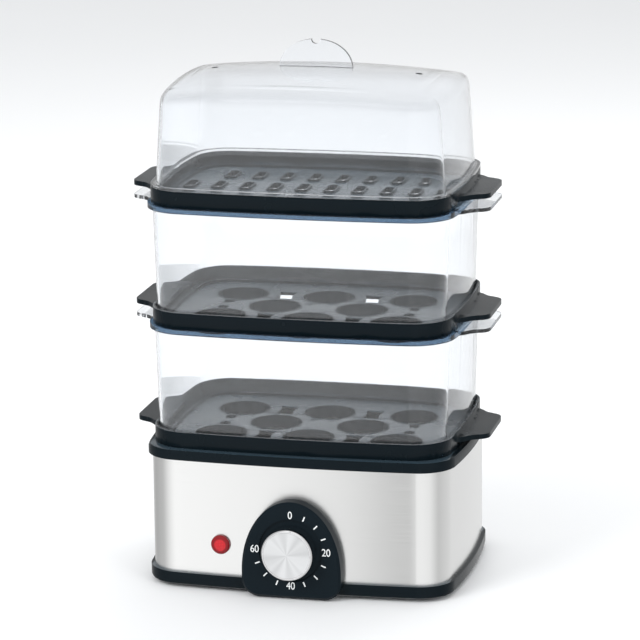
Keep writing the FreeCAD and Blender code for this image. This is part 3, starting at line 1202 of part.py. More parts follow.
def crown(body, name, shrink):
    """Cut everything above the crowned top: an arc along Y swung about an axis along Y."""
    sketch = new_sketch(body, name + "_plan", "YZ_Plane")
    make, vec = Sketcher.Constraint, FreeCAD.Vector
    top = "(%s + lid_crown - %s)" % (LID_FOOT, shrink)
    radius = "(crown_radius_y - %s)" % shrink
    z, r, reach, clear = value(top), value(radius), value("half_depth + crown_margin"), value("crown_clear")
    swing = math.asin(reach / r)
    low = z - r + r * math.cos(swing)
    circle = Part.Circle(vec(0, z - r, 0), vec(0, 0, 1), r)
    sketch.addGeometry(Part.ArcOfCircle(circle, math.pi / 2 - swing, math.pi / 2 + swing), False)
    spots = [vec(-reach, low, 0), vec(-reach, z + clear, 0), vec(reach, z + clear, 0), vec(reach, low, 0)]
    for i in range(3):
        sketch.addGeometry(Part.LineSegment(spots[i], spots[i + 1]), False)
    sketch.addConstraint([make("Coincident", 0, 2, 1, 1), make("Coincident", 1, 2, 2, 1),
                          make("Coincident", 2, 2, 3, 1), make("Coincident", 3, 2, 0, 1),
                          make("Vertical", 1), make("Horizontal", 2), make("Vertical", 3),
                          make("PointOnObject", 0, 3, -2)])
    tie(sketch, (make("DistanceY", -1, 1, 0, 3, z - r), top + " - " + radius),
        (make("Radius", 0, r), radius), (make("DistanceX", -1, 1, 2, 2, reach), "half_depth + crown_margin"),
        (make("DistanceX", 2, 1, -1, 1, reach), "half_depth + crown_margin"),
        (make("DistanceY", -1, 1, 2, 1, z + clear), top + " + crown_clear"))
    axis_level = "(%s + lid_crown - crown_radius_x)" % LID_FOOT
    index = len(sketch.Geometry)
    level, half = value(axis_level), value("crown_margin")
    sketch.addGeometry(Part.LineSegment(vec(-half, level, 0), vec(half, level, 0)), True)
    sketch.addConstraint(make("Horizontal", index))
    tie(sketch, (make("DistanceY", index, 1, -1, 1, -level), "0 - (" + axis_level + ")"),
        (make("DistanceX", index, 1, -1, 1, half), "crown_margin"),
        (make("DistanceX", -1, 1, index, 2, half), "crown_margin"))
    feature = body.newObject("PartDesign::Groove", body.Name + "_" + name)
    feature.Profile = sketch
    feature.ReferenceAxis = (sketch, ["Axis0"])
    feature.Midplane = True
    feature.Angle = 24
    return settle(feature)


def make_lid():
    body = new_body("lid")
    stack(body, "dome", lid_rings("0", LID_FOOT), "tier_corner")
    crown(body, "top", "0")
    flange = ring_sketch(body, "flange_plan", LID_FOOT, [("0 - tier_inset", "tier_corner")])
    pad(body, "flange", flange, "lid_flange")
    lip = ring_sketch(body, "lip_plan", LID_FOOT, [("0 - tier_inset - tray_wall - lip_gap", "tier_corner")])
    pad(body, "lip", lip, "lid_lip", True)
    core = new_body("lid_core")
    stack(core, "dome", lid_rings("lid_wall", LID_FOOT + " - lid_lip"), "tier_corner")
    crown(core, "top", "lid_wall")
    hollow = body.newObject("PartDesign::Boolean", "lid_hollow")
    hollow.Type = "Cut"
    hollow.setObjects([core])
    body.Tip = hollow
    settle(hollow)
    grip = new_sketch(body, "grip_plan", "XZ_Plane", "0 - grip_thickness / 2")
    base = "(%s + lid_crown)" % LID_FOOT
    side = [("grip_half", base + " - grip_sink"), ("(grip_half - grip_lean)", base + " + 0.38 * grip_height"),
            ("(grip_half - 2 * grip_lean)", base + " + 0.6 * grip_height"),
            ("grip_shoulder", base + " + 0.76 * grip_height"),
            ("(grip_shoulder - grip_turn)", base + " + 0.9 * grip_height"),
            ("grip_flat", base + " + grip_height")]
    add_polygon(grip, side + [("0 - " + x, z) for x, z in reversed(side)])
    pad(body, "grip", grip, "grip_thickness")
    top = base + " + grip_height"
    notch = new_sketch(body, "notch_plan", "XZ_Plane", "grip_thickness")
    add_circle(notch, "0", top, "grip_notch")
    pocket(body, "notch", notch, "2 * grip_thickness")
    vents = new_sketch(body, "vent_plan", "XY_Plane", base)
    for side in ("", "0 - "):
        add_circle(vents, side + "lid_vent_x", "0", "lid_vent_radius")
    pocket(body, "vents", vents, "cut_length")
    return node(body, "lid")


def shift_back(item):
    """Move a piece from the base's middle to the middle of the whole depth."""
    own = [expression for path, expression in item.ExpressionEngine if path.endswith("Placement.Base.y")]
    start = "(%s) + " % own[0] if own else ""
    shift = "(bezel_reach + knob_reach - gland_flange_height) / 2"
    item.setExpression("Placement.Base.y", start + bound(shift))


def check_and_write():
    for item in NODES:
        shift_back(item)
    doc.recompute()
    for item in doc.Objects:
        if any(state in ("Invalid", "Error") for state in item.State):
            raise RuntimeError(item.Name + " did not recompute")
    for item in NODES:
        if item.Shape.isNull() or not item.Shape.isValid():
            raise RuntimeError(item.Label + " has no valid shape")
    os.makedirs("parts", exist_ok=True)
    for item in NODES:
        item.Shape.exportStep("parts/" + item.Label + ".step")
        box = item.Shape.BoundBox
        print("%-18s solids %d  volume %9.1f  z %.1f to %.1f"
              % (item.Label, len(item.Shape.Solids), item.Shape.Volume, box.ZMin, box.ZMax))


make_base_pan()
make_feet()
make_base_screws()
make_sleeve()
make_collar()
make_bowl()
make_seal()
make_bowl_screws()
make_element()
make_straps()
make_nuts()
make_thermostat()
make_fuse()
make_terminal()
make_gland()
make_bezel()
make_timer()
make_lamp()
make_knob()
make_tray("egg_tray_lower", 0, cut_egg_floor)
make_container("container_lower", 0)
make_tray("egg_tray_upper", 1, cut_egg_floor)
make_container("container_upper", 1)
make_tray("steam_tray", 2, cut_steam_floor)
make_lid()
check_and_write()
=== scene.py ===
# %% [markdown]
# # A three-tier egg boiler, dressed for the studio
# The real thing is a small kitchen appliance: a brushed steel base with a black collar and a
# timer knob, two clear containers that stand on black egg trays, and a clear domed lid on a
# slotted steam tray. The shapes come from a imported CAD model. This script loads that model
# and gives its pieces softer edges and a finish. It makes the curved clear and polished walls
# again with finer facets, and it adds what is too fine for the CAD, such as the printed dial.

# %% Load the fixed frame
import json
import math

import bmesh
import bpy
from mathutils import Matrix, Vector


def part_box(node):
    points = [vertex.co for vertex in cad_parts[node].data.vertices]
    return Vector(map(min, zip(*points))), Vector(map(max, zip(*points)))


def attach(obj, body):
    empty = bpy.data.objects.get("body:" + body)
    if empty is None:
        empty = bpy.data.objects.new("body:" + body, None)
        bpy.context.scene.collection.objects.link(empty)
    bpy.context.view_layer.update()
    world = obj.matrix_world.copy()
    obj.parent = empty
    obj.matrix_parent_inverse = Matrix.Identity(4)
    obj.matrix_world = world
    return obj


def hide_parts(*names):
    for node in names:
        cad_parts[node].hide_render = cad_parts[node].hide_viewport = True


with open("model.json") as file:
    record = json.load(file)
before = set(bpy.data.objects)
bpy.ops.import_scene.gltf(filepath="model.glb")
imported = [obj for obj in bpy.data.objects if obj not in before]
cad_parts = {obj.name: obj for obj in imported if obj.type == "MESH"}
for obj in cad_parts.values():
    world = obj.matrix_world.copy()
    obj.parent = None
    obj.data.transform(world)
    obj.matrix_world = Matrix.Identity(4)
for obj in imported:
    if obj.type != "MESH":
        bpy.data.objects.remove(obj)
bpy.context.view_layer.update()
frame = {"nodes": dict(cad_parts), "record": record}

print("nodes loaded:", len(frame["nodes"]))

# %% [markdown]
# ## Sizes used all over the script
# Blender works in metres, but most pieces of an appliance are thought of in millimetres, so
# `MM` turns one into the other. The knob's axis, the dial's face and the steam tray's rim are
# read from the frame. The other sizes are written here with the values that the CAD model
# has: `LEVELS` are the heights of the three tiers' trays, and `LAMP_AT` is the lamp's place.
# The frame's origin lies in front of the middle of the tiers, so `SHIFT_Y` moves back what is
# drawn round that middle.

# %% Named sizes
MM = 0.001
TIER_FOOT, TIER_PITCH = 100.0, 84.4
LEVELS = [TIER_FOOT + TIER_PITCH * tier for tier in range(3)]
SHIFT_Y = 9.25
LAMP_AT = (-52.0, 33.6)
knob_low, knob_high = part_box("timer_knob")
AXIS_X = (knob_low[0] + knob_high[0]) / 2
AXIS_Z = (knob_low[2] + knob_high[2]) / 2
BEZEL_FACE_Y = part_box("dial_bezel")[0][1]
rim_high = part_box("steam_tray")[1]
print("dial axis at x %.4f z %.4f, bezel face at y %.4f" % (AXIS_X, AXIS_Z, BEZEL_FACE_Y))

# %% [markdown]
# ## Shared shader groups
# Two effects turn up in several finishes. Moulded plastic and rubber have a very fine grain
# and a roughness that wanders a little from place to place. Brushed metal has long thin
# scratches all in one direction. Each effect is a node group that is built once, with named
# sockets, and placed in every material with that material's own values. A group only puts
# out colours and heights: the shader itself stays in the material, where an exporter can find
# it. Building a tree means making nodes and linking sockets again and again, so a few small
# helpers come first. In all of them an input may be given a plain value or a node's output.

# %% Helpers for node trees
MIX_SHARE, MIX_FIRST, MIX_SECOND, MIX_COLOUR = 0, 6, 7, 2


def feed(socket, value):
    """Link a node's output to a socket, or give the socket a plain value."""
    if isinstance(value, bpy.types.NodeSocket):
        socket.id_data.links.new(value, socket)
    elif socket.type == "RGBA":
        socket.default_value = (*value, 1)
    else:
        socket.default_value = value


def fill(node, **values):
    """Feed a node's inputs by title."""
    for title, value in values.items():
        feed(node.inputs[title.replace("_", " ")], value)
    return node


def add_node(tree, kind, **settings):
    """Add a node and set its properties or, where the name is a socket, feed its input."""
    made = tree.nodes.new(kind)
    for name, setting in settings.items():
        if hasattr(made, name):
            setattr(made, name, setting)
        else:
            fill(made, **{name: setting})
    return made


def calc(tree, operation, *terms, kind="ShaderNodeMath"):
    """A Math or Vector Math node on outputs and plain values; returns its first output."""
    made = add_node(tree, kind, operation=operation)
    for index, term in enumerate(terms):
        feed(made.inputs[index], term)
    return made.outputs[0]


def tint_between(tree, share, first, second):
    """The colour that lies between two colours by a share."""
    made = add_node(tree, "ShaderNodeMix", data_type="RGBA")
    for index, value in ((MIX_SHARE, share), (MIX_FIRST, first), (MIX_SECOND, second)):
        feed(made.inputs[index], value)
    return made.outputs[MIX_COLOUR]


def object_place(tree):
    return add_node(tree, "ShaderNodeTexCoord").outputs["Object"]


def parts_of(tree, vector):
    """The X, Y and Z of a vector, by name."""
    return add_node(tree, "ShaderNodeSeparateXYZ", Vector=vector).outputs


def reach_from_axis(tree, vector):
    """Distance from an axis that runs along Y."""
    flat = calc(tree, "MULTIPLY", vector, (1, 0, 1), kind="ShaderNodeVectorMath")
    return flat, add_node(tree, "ShaderNodeVectorMath", operation="LENGTH", Vector=flat).outputs["Value"]


def new_group(name, inputs, outputs, kind="ShaderNodeTree"):
    """A node group with named sockets; returns it, its inputs and its output node."""
    group = bpy.data.node_groups.new(name, kind)
    for title, socket_kind, *default in inputs:
        socket = group.interface.new_socket(title, in_out="INPUT", socket_type="NodeSocket" + socket_kind)
        if default:
            socket.default_value = default[0]
    for title, socket_kind in outputs:
        group.interface.new_socket(title, in_out="OUTPUT", socket_type="NodeSocket" + socket_kind)
    return group, group.nodes.new("NodeGroupInput").outputs, group.nodes.new("NodeGroupOutput")


# %% Moulded grain group
def moulded_grain():
    """Fine spark-eroded grain plus slow drift of the gloss, both from Object coordinates."""
    group, start, end = new_group(
        "Moulded grain",
        [("Grain per metre", "Float", 2500.0), ("Roughness low", "Float", 0.3),
         ("Roughness high", "Float", 0.45)],
        [("Height", "Float"), ("Roughness", "Float")])
    where = object_place(group)
    grain = add_node(group, "ShaderNodeTexNoise", Vector=where, Scale=start["Grain per metre"],
                     Detail=3.0, Roughness=0.6)
    drift = add_node(group, "ShaderNodeTexNoise", Vector=where, Scale=22.0, Detail=4.0)
    band = add_node(group, "ShaderNodeMapRange", Value=drift.outputs["Fac"], From_Min=0.3, From_Max=0.7,
                    To_Min=start["Roughness low"], To_Max=start["Roughness high"])
    fill(end, Height=grain.outputs["Fac"], Roughness=band.outputs["Result"])
    return group


GRAIN = moulded_grain()
print("group", GRAIN.name, "has", len(GRAIN.nodes), "nodes")

# %% Brushed metal group
def brushed_metal():
    """Scratches that run level round the piece: noise squeezed along Z and stretched across it."""
    group, start, end = new_group(
        "Brushed metal",
        [("Lines per metre", "Float", 2600.0), ("Stretch", "Float", 0.012),
         ("Dark", "Color", (0.6, 0.6, 0.6, 1)), ("Light", "Color", (0.8, 0.8, 0.8, 1)),
         ("Roughness low", "Float", 0.22), ("Roughness high", "Float", 0.4)],
        [("Height", "Float"), ("Colour", "Color"), ("Roughness", "Float")])
    parts = parts_of(group, object_place(group))
    squeezed = {axis: calc(group, "MULTIPLY", parts[axis], start["Stretch"]) for axis in "XY"}
    joined = add_node(group, "ShaderNodeCombineXYZ", Z=parts["Z"], **squeezed)
    scratches = add_node(group, "ShaderNodeTexNoise", Vector=joined.outputs[0], Detail=2.5, Roughness=0.65,
                         Scale=start["Lines per metre"]).outputs["Fac"]
    band = add_node(group, "ShaderNodeMapRange", Value=scratches, From_Min=0.25, From_Max=0.75,
                    To_Min=start["Roughness low"], To_Max=start["Roughness high"])
    fill(end, Height=scratches, Colour=tint_between(group, scratches, start["Dark"], start["Light"]),
         Roughness=band.outputs["Result"])
    return group


BRUSHED = brushed_metal()
print("group", BRUSHED.name, "has", len(BRUSHED.nodes), "nodes")

# %% [markdown]
# ## The finishes
# A finish is a material with one Principled shader. What is the same all over the piece is
# set on the shader's own sockets. What varies comes from a group or a texture. The black
# plastic is glossier on level faces inside the walls, and it is painted paler and bluer there:
# a painted sheen for the light that the trays' floors reflect, which shows them paler and
# bluer than their rims.

# %% Materials of moulded plastic and rubber
GRAIN_DEPTH = 0.04 * MM
FLOOR_REACH = 106.0 * MM
LEVEL_FROM, LEVEL_FULL = 0.8, 0.97


def new_material(name):
    """An empty node material, its tree and its Principled shader."""
    material = bpy.data.materials.new(name)
    material.use_nodes = True
    return material, material.node_tree, material.node_tree.nodes["Principled BSDF"]


def gloss_and_painted_sheen_on_floors(tree, shader, colour, gloss, floor_painted_sheen_colour, floor_gloss):
    """Give level faces within the walls more gloss and a paler, bluer colour that is painted sheen."""
    facing = add_node(tree, "ShaderNodeNewGeometry").outputs["Normal"]
    level = add_node(tree, "ShaderNodeMapRange", Value=parts_of(tree, facing)["Z"],
                     From_Min=LEVEL_FROM, From_Max=LEVEL_FULL).outputs["Result"]
    within = calc(tree, "COMPARE", parts_of(tree, object_place(tree))["X"], 0.0, FLOOR_REACH)
    mask = calc(tree, "MULTIPLY", level, within)
    shine = add_node(tree, "ShaderNodeMapRange", Value=mask, To_Min=gloss, To_Max=floor_gloss)
    # the paler, bluer base colour on level faces is painted sheen; the higher gloss is real
    fill(shader, Base_Color=tint_between(tree, mask, colour, floor_painted_sheen_colour),
         Specular_IOR_Level=shine.outputs["Result"])


def moulded(name, colour, rough, grain=2500.0, bump=0.25, gloss=0.5, floor=None):
    """Moulded plastic or rubber: plain colour, fine grain, gloss that drifts."""
    material, tree, shader = new_material(name)
    group = add_node(tree, "ShaderNodeGroup", node_tree=GRAIN, Grain_per_metre=grain,
                     Roughness_low=rough[0], Roughness_high=rough[1])
    raised = add_node(tree, "ShaderNodeBump", Strength=bump, Distance=GRAIN_DEPTH,
                      Height=group.outputs["Height"])
    fill(shader, Base_Color=colour, Specular_IOR_Level=gloss, Roughness=group.outputs["Roughness"],
         Normal=raised.outputs["Normal"])
    if floor:
        gloss_and_painted_sheen_on_floors(tree, shader, colour, gloss, *floor)
    return material


# the floor colour below is a painted sheen on the level faces inside the walls
black_plastic = moulded("Black satin plastic", (0.0035, 0.0075, 0.0105), (0.2, 0.3), gloss=0.1,
                        floor=((0.03, 0.05, 0.066), 0.9))
dial_plastic = moulded("Dial plate plastic", (0.006, 0.011, 0.015), (0.3, 0.4), grain=3200.0, gloss=0.07)
foot_rubber = moulded("Foot rubber", (0.008, 0.009, 0.01), (0.6, 0.75), bump=0.4, gloss=0.2)
ivory_plastic = moulded("Ivory nylon", (0.72, 0.69, 0.6), (0.4, 0.55))
print("moulded finishes: 4")

# %% Materials of metal
ACROSS = 0.25
SCRATCH_DEPTH = 0.03 * MM


def metal(name, dark, light, rough, lines=2600.0, stretch=0.012, bump=0.12, anisotropy=0.0):
    """Metal with fine parallel scratches; the two colours differ only a little.

    Where the scratches run level, light is smeared up and down, across them: that is
    what the anisotropy and the tangent round the Z axis give.
    """
    material, tree, shader = new_material(name)
    group = add_node(tree, "ShaderNodeGroup", node_tree=BRUSHED, Lines_per_metre=lines, Stretch=stretch,
                     Dark=dark, Light=light, Roughness_low=rough[0], Roughness_high=rough[1])
    raised = add_node(tree, "ShaderNodeBump", Strength=bump, Distance=SCRATCH_DEPTH,
                      Height=group.outputs["Height"])
    fill(shader, Metallic=1.0, Anisotropic=anisotropy, Anisotropic_Rotation=ACROSS,
         Base_Color=group.outputs["Colour"], Roughness=group.outputs["Roughness"],
         Normal=raised.outputs["Normal"])
    if anisotropy:
        around = add_node(tree, "ShaderNodeTangent", direction_type="RADIAL", axis="Z")
        fill(shader, Tangent=around.outputs["Tangent"])
    return material


brushed_sleeve = metal("Brushed stainless steel", (0.86, 0.86, 0.85), (0.94, 0.94, 0.93), (0.2, 0.27),
                       bump=0.03, anisotropy=0.85)
bowl_steel = metal("Drawn bowl steel", (0.5, 0.5, 0.49), (0.68, 0.68, 0.67), (0.25, 0.4), stretch=0.4)
plated_steel = metal("Zinc plated steel", (0.55, 0.56, 0.56), (0.72, 0.72, 0.71), (0.25, 0.35), stretch=1.0)
knob_chrome = metal("Polished chrome", (0.84, 0.84, 0.85), (0.9, 0.9, 0.91), (0.06, 0.12), bump=0.02)
element_sheath = metal("Element sheath", (0.1, 0.1, 0.1), (0.17, 0.16, 0.15), (0.45, 0.65), stretch=1.0)
print("metal finishes: 5")

# %% [markdown]
# ### The knob's turned disc
# The face of the knob looks like an aluminium disc that was faced on a lathe. The cutting tool
# leaves rings far too fine to see one by one, and together they throw light back in opposite
# bright sectors that narrow to the centre. Anisotropy with a tangent that runs round the
# knob's axis gives them their soft spread. A slow noise round the axis also paints some sectors
# darker than others in the colour: a painted reflection, the light and shade of the sectors
# put into the colour. It is read at twice the bearing, so that opposite sectors are alike.
# A faint ring pattern adds the tool marks.

# %% Turned disc
SECTOR_SCALE, SECTOR_PAINTED_SHADE = 0.75, 0.84
RING_SCALE, RING_DEPTH = 5200.0, 0.02 * MM
DISC_ROUGH, DISC_ANISOTROPY = 0.3, 0.9


def turned_disc():
    material, tree, shader = new_material("Turned aluminium")
    centred = add_node(tree, "ShaderNodeMapping", Vector=object_place(tree), Location=(-AXIS_X, 0, -AXIS_Z))
    flat, reach = reach_from_axis(tree, centred.outputs["Vector"])
    parts = parts_of(tree, flat)
    bearing = calc(tree, "MULTIPLY", calc(tree, "ARCTAN2", parts["Z"], parts["X"]), 2.0)
    spot = add_node(tree, "ShaderNodeCombineXYZ", X=calc(tree, "COSINE", bearing),
                    Y=calc(tree, "SINE", bearing))
    sectors = add_node(tree, "ShaderNodeTexNoise", Vector=spot.outputs[0], Scale=SECTOR_SCALE,
                       Detail=1.0, Roughness=0.5)
    # the sector noise darkens the colour: painted reflection of the bright and dim sectors
    level = add_node(tree, "ShaderNodeMapRange", Value=sectors.outputs["Fac"], From_Min=0.4, From_Max=0.6,
                     To_Min=SECTOR_PAINTED_SHADE, To_Max=1.0)
    rings = add_node(tree, "ShaderNodeTexNoise", noise_dimensions="1D", W=reach, Scale=RING_SCALE,
                     Detail=2.0).outputs["Fac"]
    tint = tint_between(tree, rings, (0.9, 0.91, 0.92), (0.96, 0.97, 0.98))
    painted_sector_light = add_node(tree, "ShaderNodeVectorMath", operation="SCALE", Vector=tint,
                      Scale=level.outputs["Result"])
    raised = add_node(tree, "ShaderNodeBump", Strength=0.06, Distance=RING_DEPTH, Height=rings)
    around = add_node(tree, "ShaderNodeTangent", direction_type="RADIAL", axis="Y")
    fill(shader, Metallic=1.0, Roughness=DISC_ROUGH, Anisotropic=DISC_ANISOTROPY,
         Anisotropic_Rotation=ACROSS, Base_Color=painted_sector_light.outputs[0], Normal=raised.outputs["Normal"],
         Tangent=around.outputs["Tangent"])
    return material


spun_disc = turned_disc()
print("made", spun_disc.name)

# %% [markdown]
# ### Clear plastic
# Containers and lid are clear plastic, 1.8 mm thick here. It is glossy, it bends light a
# little and it has a faint milky haze, so the trays look paler and bluer behind it. Its
# thick flanges look dark blue-grey in the picture, as they take in the black tray that
# stands on them. A dark tint painted at the flanges' own height is a painted reflection of
# that tray. A real lamp shines through the plastic. A path tracer's shadow rays do not bend,
# so the shader lets them pass with a small loss, and the trays inside stay lit.

# %% Clear plastic
HAZE, CLEAR_IOR = 0.02, 1.45
FLANGE_TOPS = [level * MM for level in LEVELS[1:]]
FLANGE_DEPTH, FLANGE_MARGIN, FLANGE_REACH = 3.6 * MM, 0.3 * MM, 110.3 * MM
CLEAR_TINT, FLANGE_PAINTED_REFLECTION, SHADOW_TINT = (0.96, 0.973, 0.99), (0.1, 0.17, 0.26), (0.93, 0.94, 0.945)
WAVE_DEPTH = 0.4 * MM


def flange_mask(tree):
    """1 in the thick flange at the top of either container, and 0 elsewhere, also in the handles."""
    parts = parts_of(tree, object_place(tree))
    near = [calc(tree, "COMPARE", parts["Z"], top - FLANGE_DEPTH / 2, FLANGE_DEPTH / 2 + FLANGE_MARGIN)
            for top in FLANGE_TOPS]
    within = calc(tree, "COMPARE", parts["X"], 0.0, FLANGE_REACH)
    return calc(tree, "MULTIPLY", calc(tree, "MAXIMUM", *near), within)


def clear_plastic_finish():
    material, tree, shader = new_material("Clear polycarbonate")
    grain = add_node(tree, "ShaderNodeGroup", node_tree=GRAIN, Grain_per_metre=60.0, Roughness_low=0.015,
                     Roughness_high=0.05)
    wave = add_node(tree, "ShaderNodeBump", Strength=0.05, Distance=WAVE_DEPTH,
                    Height=grain.outputs["Height"])
    # the dark flange tint is a painted reflection of the black tray on the flange
    fill(shader, Base_Color=tint_between(tree, flange_mask(tree), CLEAR_TINT, FLANGE_PAINTED_REFLECTION),
         Transmission_Weight=1 - HAZE, IOR=CLEAR_IOR, Roughness=grain.outputs["Roughness"],
         Normal=wave.outputs["Normal"])
    through = add_node(tree, "ShaderNodeBsdfTransparent", Color=SHADOW_TINT)
    choose = add_node(tree, "ShaderNodeMixShader")
    shadow = add_node(tree, "ShaderNodeLightPath").outputs["Is Shadow Ray"]
    for index, value in enumerate((shadow, shader.outputs[0], through.outputs[0])):
        feed(choose.inputs[index], value)
    fill(tree.nodes["Material Output"], Surface=choose.outputs[0])
    return material


clear_plastic = clear_plastic_finish()
print("made", clear_plastic.name)

# %% [markdown]
# ### Red lens and white print
# The pilot lamp's lens is red, with small squares of light and a darker rim. The squares are
# painted light: the cells of a Voronoi texture without randomness give both the tint, light
# and dark red by turns, and the bump.

# %% Red lens
LENS_X, LENS_Z, LENS_EDGE = LAMP_AT[0] * MM, LAMP_AT[1] * MM, 4.6 * MM
FACETS_PER_METRE, FACET_DEPTH = 900.0, 0.4 * MM
LENS_LIGHT, LENS_DARK, LENS_RIM = (0.75, 0.02, 0.03), (0.12, 0.001, 0.004), (0.22, 0.002, 0.006)


def red_lens_finish():
    material, tree, shader = new_material("Red lens")
    where = object_place(tree)
    facets = add_node(tree, "ShaderNodeTexVoronoi", feature="F1", distance="CHEBYCHEV", Vector=where,
                      Scale=FACETS_PER_METRE, Randomness=0.0).outputs["Distance"]
    centred = calc(tree, "SUBTRACT", where, (LENS_X, 0, LENS_Z), kind="ShaderNodeVectorMath")
    edge = add_node(tree, "ShaderNodeMapRange", Value=reach_from_axis(tree, centred)[1],
                    From_Min=LENS_EDGE * 0.8, From_Max=LENS_EDGE)
    # lighter and darker red by cell is painted light of the lens's facets
    red = tint_between(tree, edge.outputs["Result"], tint_between(tree, facets, LENS_LIGHT, LENS_DARK),
                       LENS_RIM)
    raised = add_node(tree, "ShaderNodeBump", Strength=0.7, Distance=FACET_DEPTH, Height=facets)
    fill(shader, Base_Color=red, Normal=raised.outputs["Normal"], Roughness=0.16, Specular_IOR_Level=0.4)
    return material


def mottled(name, scale, first, second, **shine):
    """A dull finish whose colour wanders between two tints."""
    material, tree, shader = new_material(name)
    cloud = add_node(tree, "ShaderNodeTexNoise", Vector=object_place(tree), Scale=scale, Detail=2.0)
    fill(shader, Base_Color=tint_between(tree, cloud.outputs["Fac"], first, second), **shine)
    return material


red_lens = red_lens_finish()
white_print = mottled("White print", 1500.0, (0.72, 0.75, 0.75), (0.88, 0.9, 0.9), Roughness=0.5)
print("made", red_lens.name, "and", white_print.name)

# %% [markdown]
# ## Dressing the CAD pieces
# A CAD mesh arrives as loose triangles with hard corners. On the real product no edge is
# perfectly sharp, and a thin bright line runs along most rims. So each piece gets a copy whose
# doubled points are merged. On most of them a Bevel modifier rounds the sharp edges by a few
# tenths of a millimetre. Where an edge of 0 is given there is no bevel: on the trays it smeared
# the shading between their many small faces. Smooth shading by angle keeps flat faces flat.
# The copy stands for the CAD node, which stays in the model untouched.

# %% A dressed copy of a CAD node
WELD = 0.004 * MM
SMOOTH_UP_TO, FLAT_FACE_WEIGHT = 50.0, 90
FINISH = {
    "black_plastic": black_plastic, "foot_rubber": foot_rubber, "brushed_sleeve": brushed_sleeve,
    "bowl_steel": bowl_steel, "plated_steel": plated_steel, "element_sheath": element_sheath,
    "ivory_plastic": ivory_plastic, "red_lens": red_lens, "knob_chrome": knob_chrome,
    "spun_disc": spun_disc, "clear_plastic": clear_plastic,
}
BODY_OF = {}
for body_name, members in frame["record"]["behaviour"]["bodies"].items():
    for member in members:
        BODY_OF[member] = body_name
SLOT_OF = {row["node"]: row["material_slot"] for row in frame["record"]["subparts"]}


def give_finish(thing, material):
    thing.data.materials.clear()
    thing.data.materials.append(material)


def carry(piece, body):
    """Let a piece ride on a body."""
    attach(piece, body)
    return piece


def adopt(piece, node_name, material=None):
    """Let a piece stand for a CAD node: same body, the finish that the node's record slot names unless one is
    given, and the node hidden.
    """
    give_finish(piece, material or FINISH[SLOT_OF[node_name]])
    carry(piece, BODY_OF[node_name])
    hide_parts(node_name)
    return piece


def new_object(name, data):
    """An object for a mesh, a curve, a lamp or a camera, in the scene's collection."""
    thing = bpy.data.objects.new(name, data)
    bpy.context.scene.collection.objects.link(thing)
    return thing


def merged_copy(node_name):
    """A copy of a CAD node with its doubled points merged."""
    name = node_name + "_dressed"
    mesh = frame["nodes"][node_name].data.copy()
    tidy = bmesh.new()
    tidy.from_mesh(mesh)
    bmesh.ops.remove_doubles(tidy, verts=tidy.verts, dist=WELD)
    bmesh.ops.dissolve_degenerate(tidy, edges=tidy.edges, dist=WELD)
    tidy.to_mesh(mesh)
    tidy.free()
    mesh.name = name
    return new_object(name, mesh)


def settle(thing):
    """Apply the modifiers, so that what is left is one plain mesh."""
    bpy.context.view_layer.update()
    evaluated = thing.evaluated_get(bpy.context.evaluated_depsgraph_get())
    mesh = bpy.data.meshes.new_from_object(evaluated)
    thing.modifiers.clear()
    thing.data = mesh
    return thing


def smooth_by_angle(mesh, degrees):
    """Smooth shading that stops at edges sharper than the angle."""
    mesh.shade_smooth()
    mesh.set_sharp_from_angle(angle=math.radians(degrees))


def soften(piece, edge, angle=32.0, segments=2):
    """Round the sharp edges, shade smooth, and let the large faces rule the normals."""
    if edge:
        rounding = piece.modifiers.new("edges", "BEVEL")
        rounding.width = edge
        rounding.segments = segments
        rounding.limit_method = "ANGLE"
        rounding.angle_limit = math.radians(angle)
        rounding.use_clamp_overlap = True
        settle(piece)
    smooth_by_angle(piece.data, SMOOTH_UP_TO)
    level = piece.modifiers.new("normals", "WEIGHTED_NORMAL")
    level.keep_sharp = True
    level.weight = FLAT_FACE_WEIGHT
    return settle(piece)


def dress(node_name, edge, material=None):
    """A copy with softened edges that stands for the node."""
    piece = merged_copy(node_name)
    soften(piece, edge)
    return adopt(piece, node_name, material)


DRESSED = {
    "base_pan": 0.0004, "rubber_feet": 0.0004, "base_screws": 0.0002, "top_collar": 0.0003,
    "heating_bowl": 0.0, "bowl_seal": 0.0002, "bowl_screws": 0.0002,
    "heating_element": 0.0, "element_straps": 0.0002, "stud_nuts": 0.0002, "thermostat": 0.0002,
    "thermal_fuse": 0.0002, "fuse_clip": 0.0, "terminal_block": 0.0003, "terminal_screw": 0.0002,
    "cord_gland": 0.0002, "timer_case": 0.0004, "timer_bell": 0.0, "timer_screws": 0.0002,
    "lamp_lens": 0.0, "lamp_nut": 0.0, "lamp_body": 0.0002, "timer_knob": 0.0002, "knob_cap": 0.0001,
    "timer_shaft": 0.0001,
}
for node_name, edge in DRESSED.items():
    dress(node_name, edge)
dress("dial_bezel", 0.0004, material=dial_plastic)
print("dressed pieces:", len(DRESSED) + 1)

# %% [markdown]
# ## Walls that follow the bowed outline
# Sleeve, containers and lid all have walls that run round one outline: an oblong whose four
# sides bow outwards a little and whose corners are round. The CAD meshes of these pieces
# are cut into fewer flat facets, which is good for a simulation, but a polished or clear wall
# shows every facet. So these walls are made again from the outline's own eight arcs. A ring
# is the outline drawn at one level and one distance outside or inside the sleeve. A wall is
# a run of rings joined by four-sided faces. All rings have the same number of points, so any
# two of them can be joined, even with different corner radii.

# %% The outline
HALF_WIDTH, HALF_DEPTH = 109.0, 80.5
FRONT_BOW, SIDE_BOW = 5.6, 6.7
BASE_CORNER, TIER_CORNER = 23.0, 28.9
STEPS = (28, 14, 18, 14)


def bow_radius(half, bow):
    return (half ** 2 + bow ** 2) / (2 * bow)


FRONT_RADIUS, SIDE_RADIUS = bow_radius(HALF_WIDTH, FRONT_BOW), bow_radius(HALF_DEPTH, SIDE_BOW)


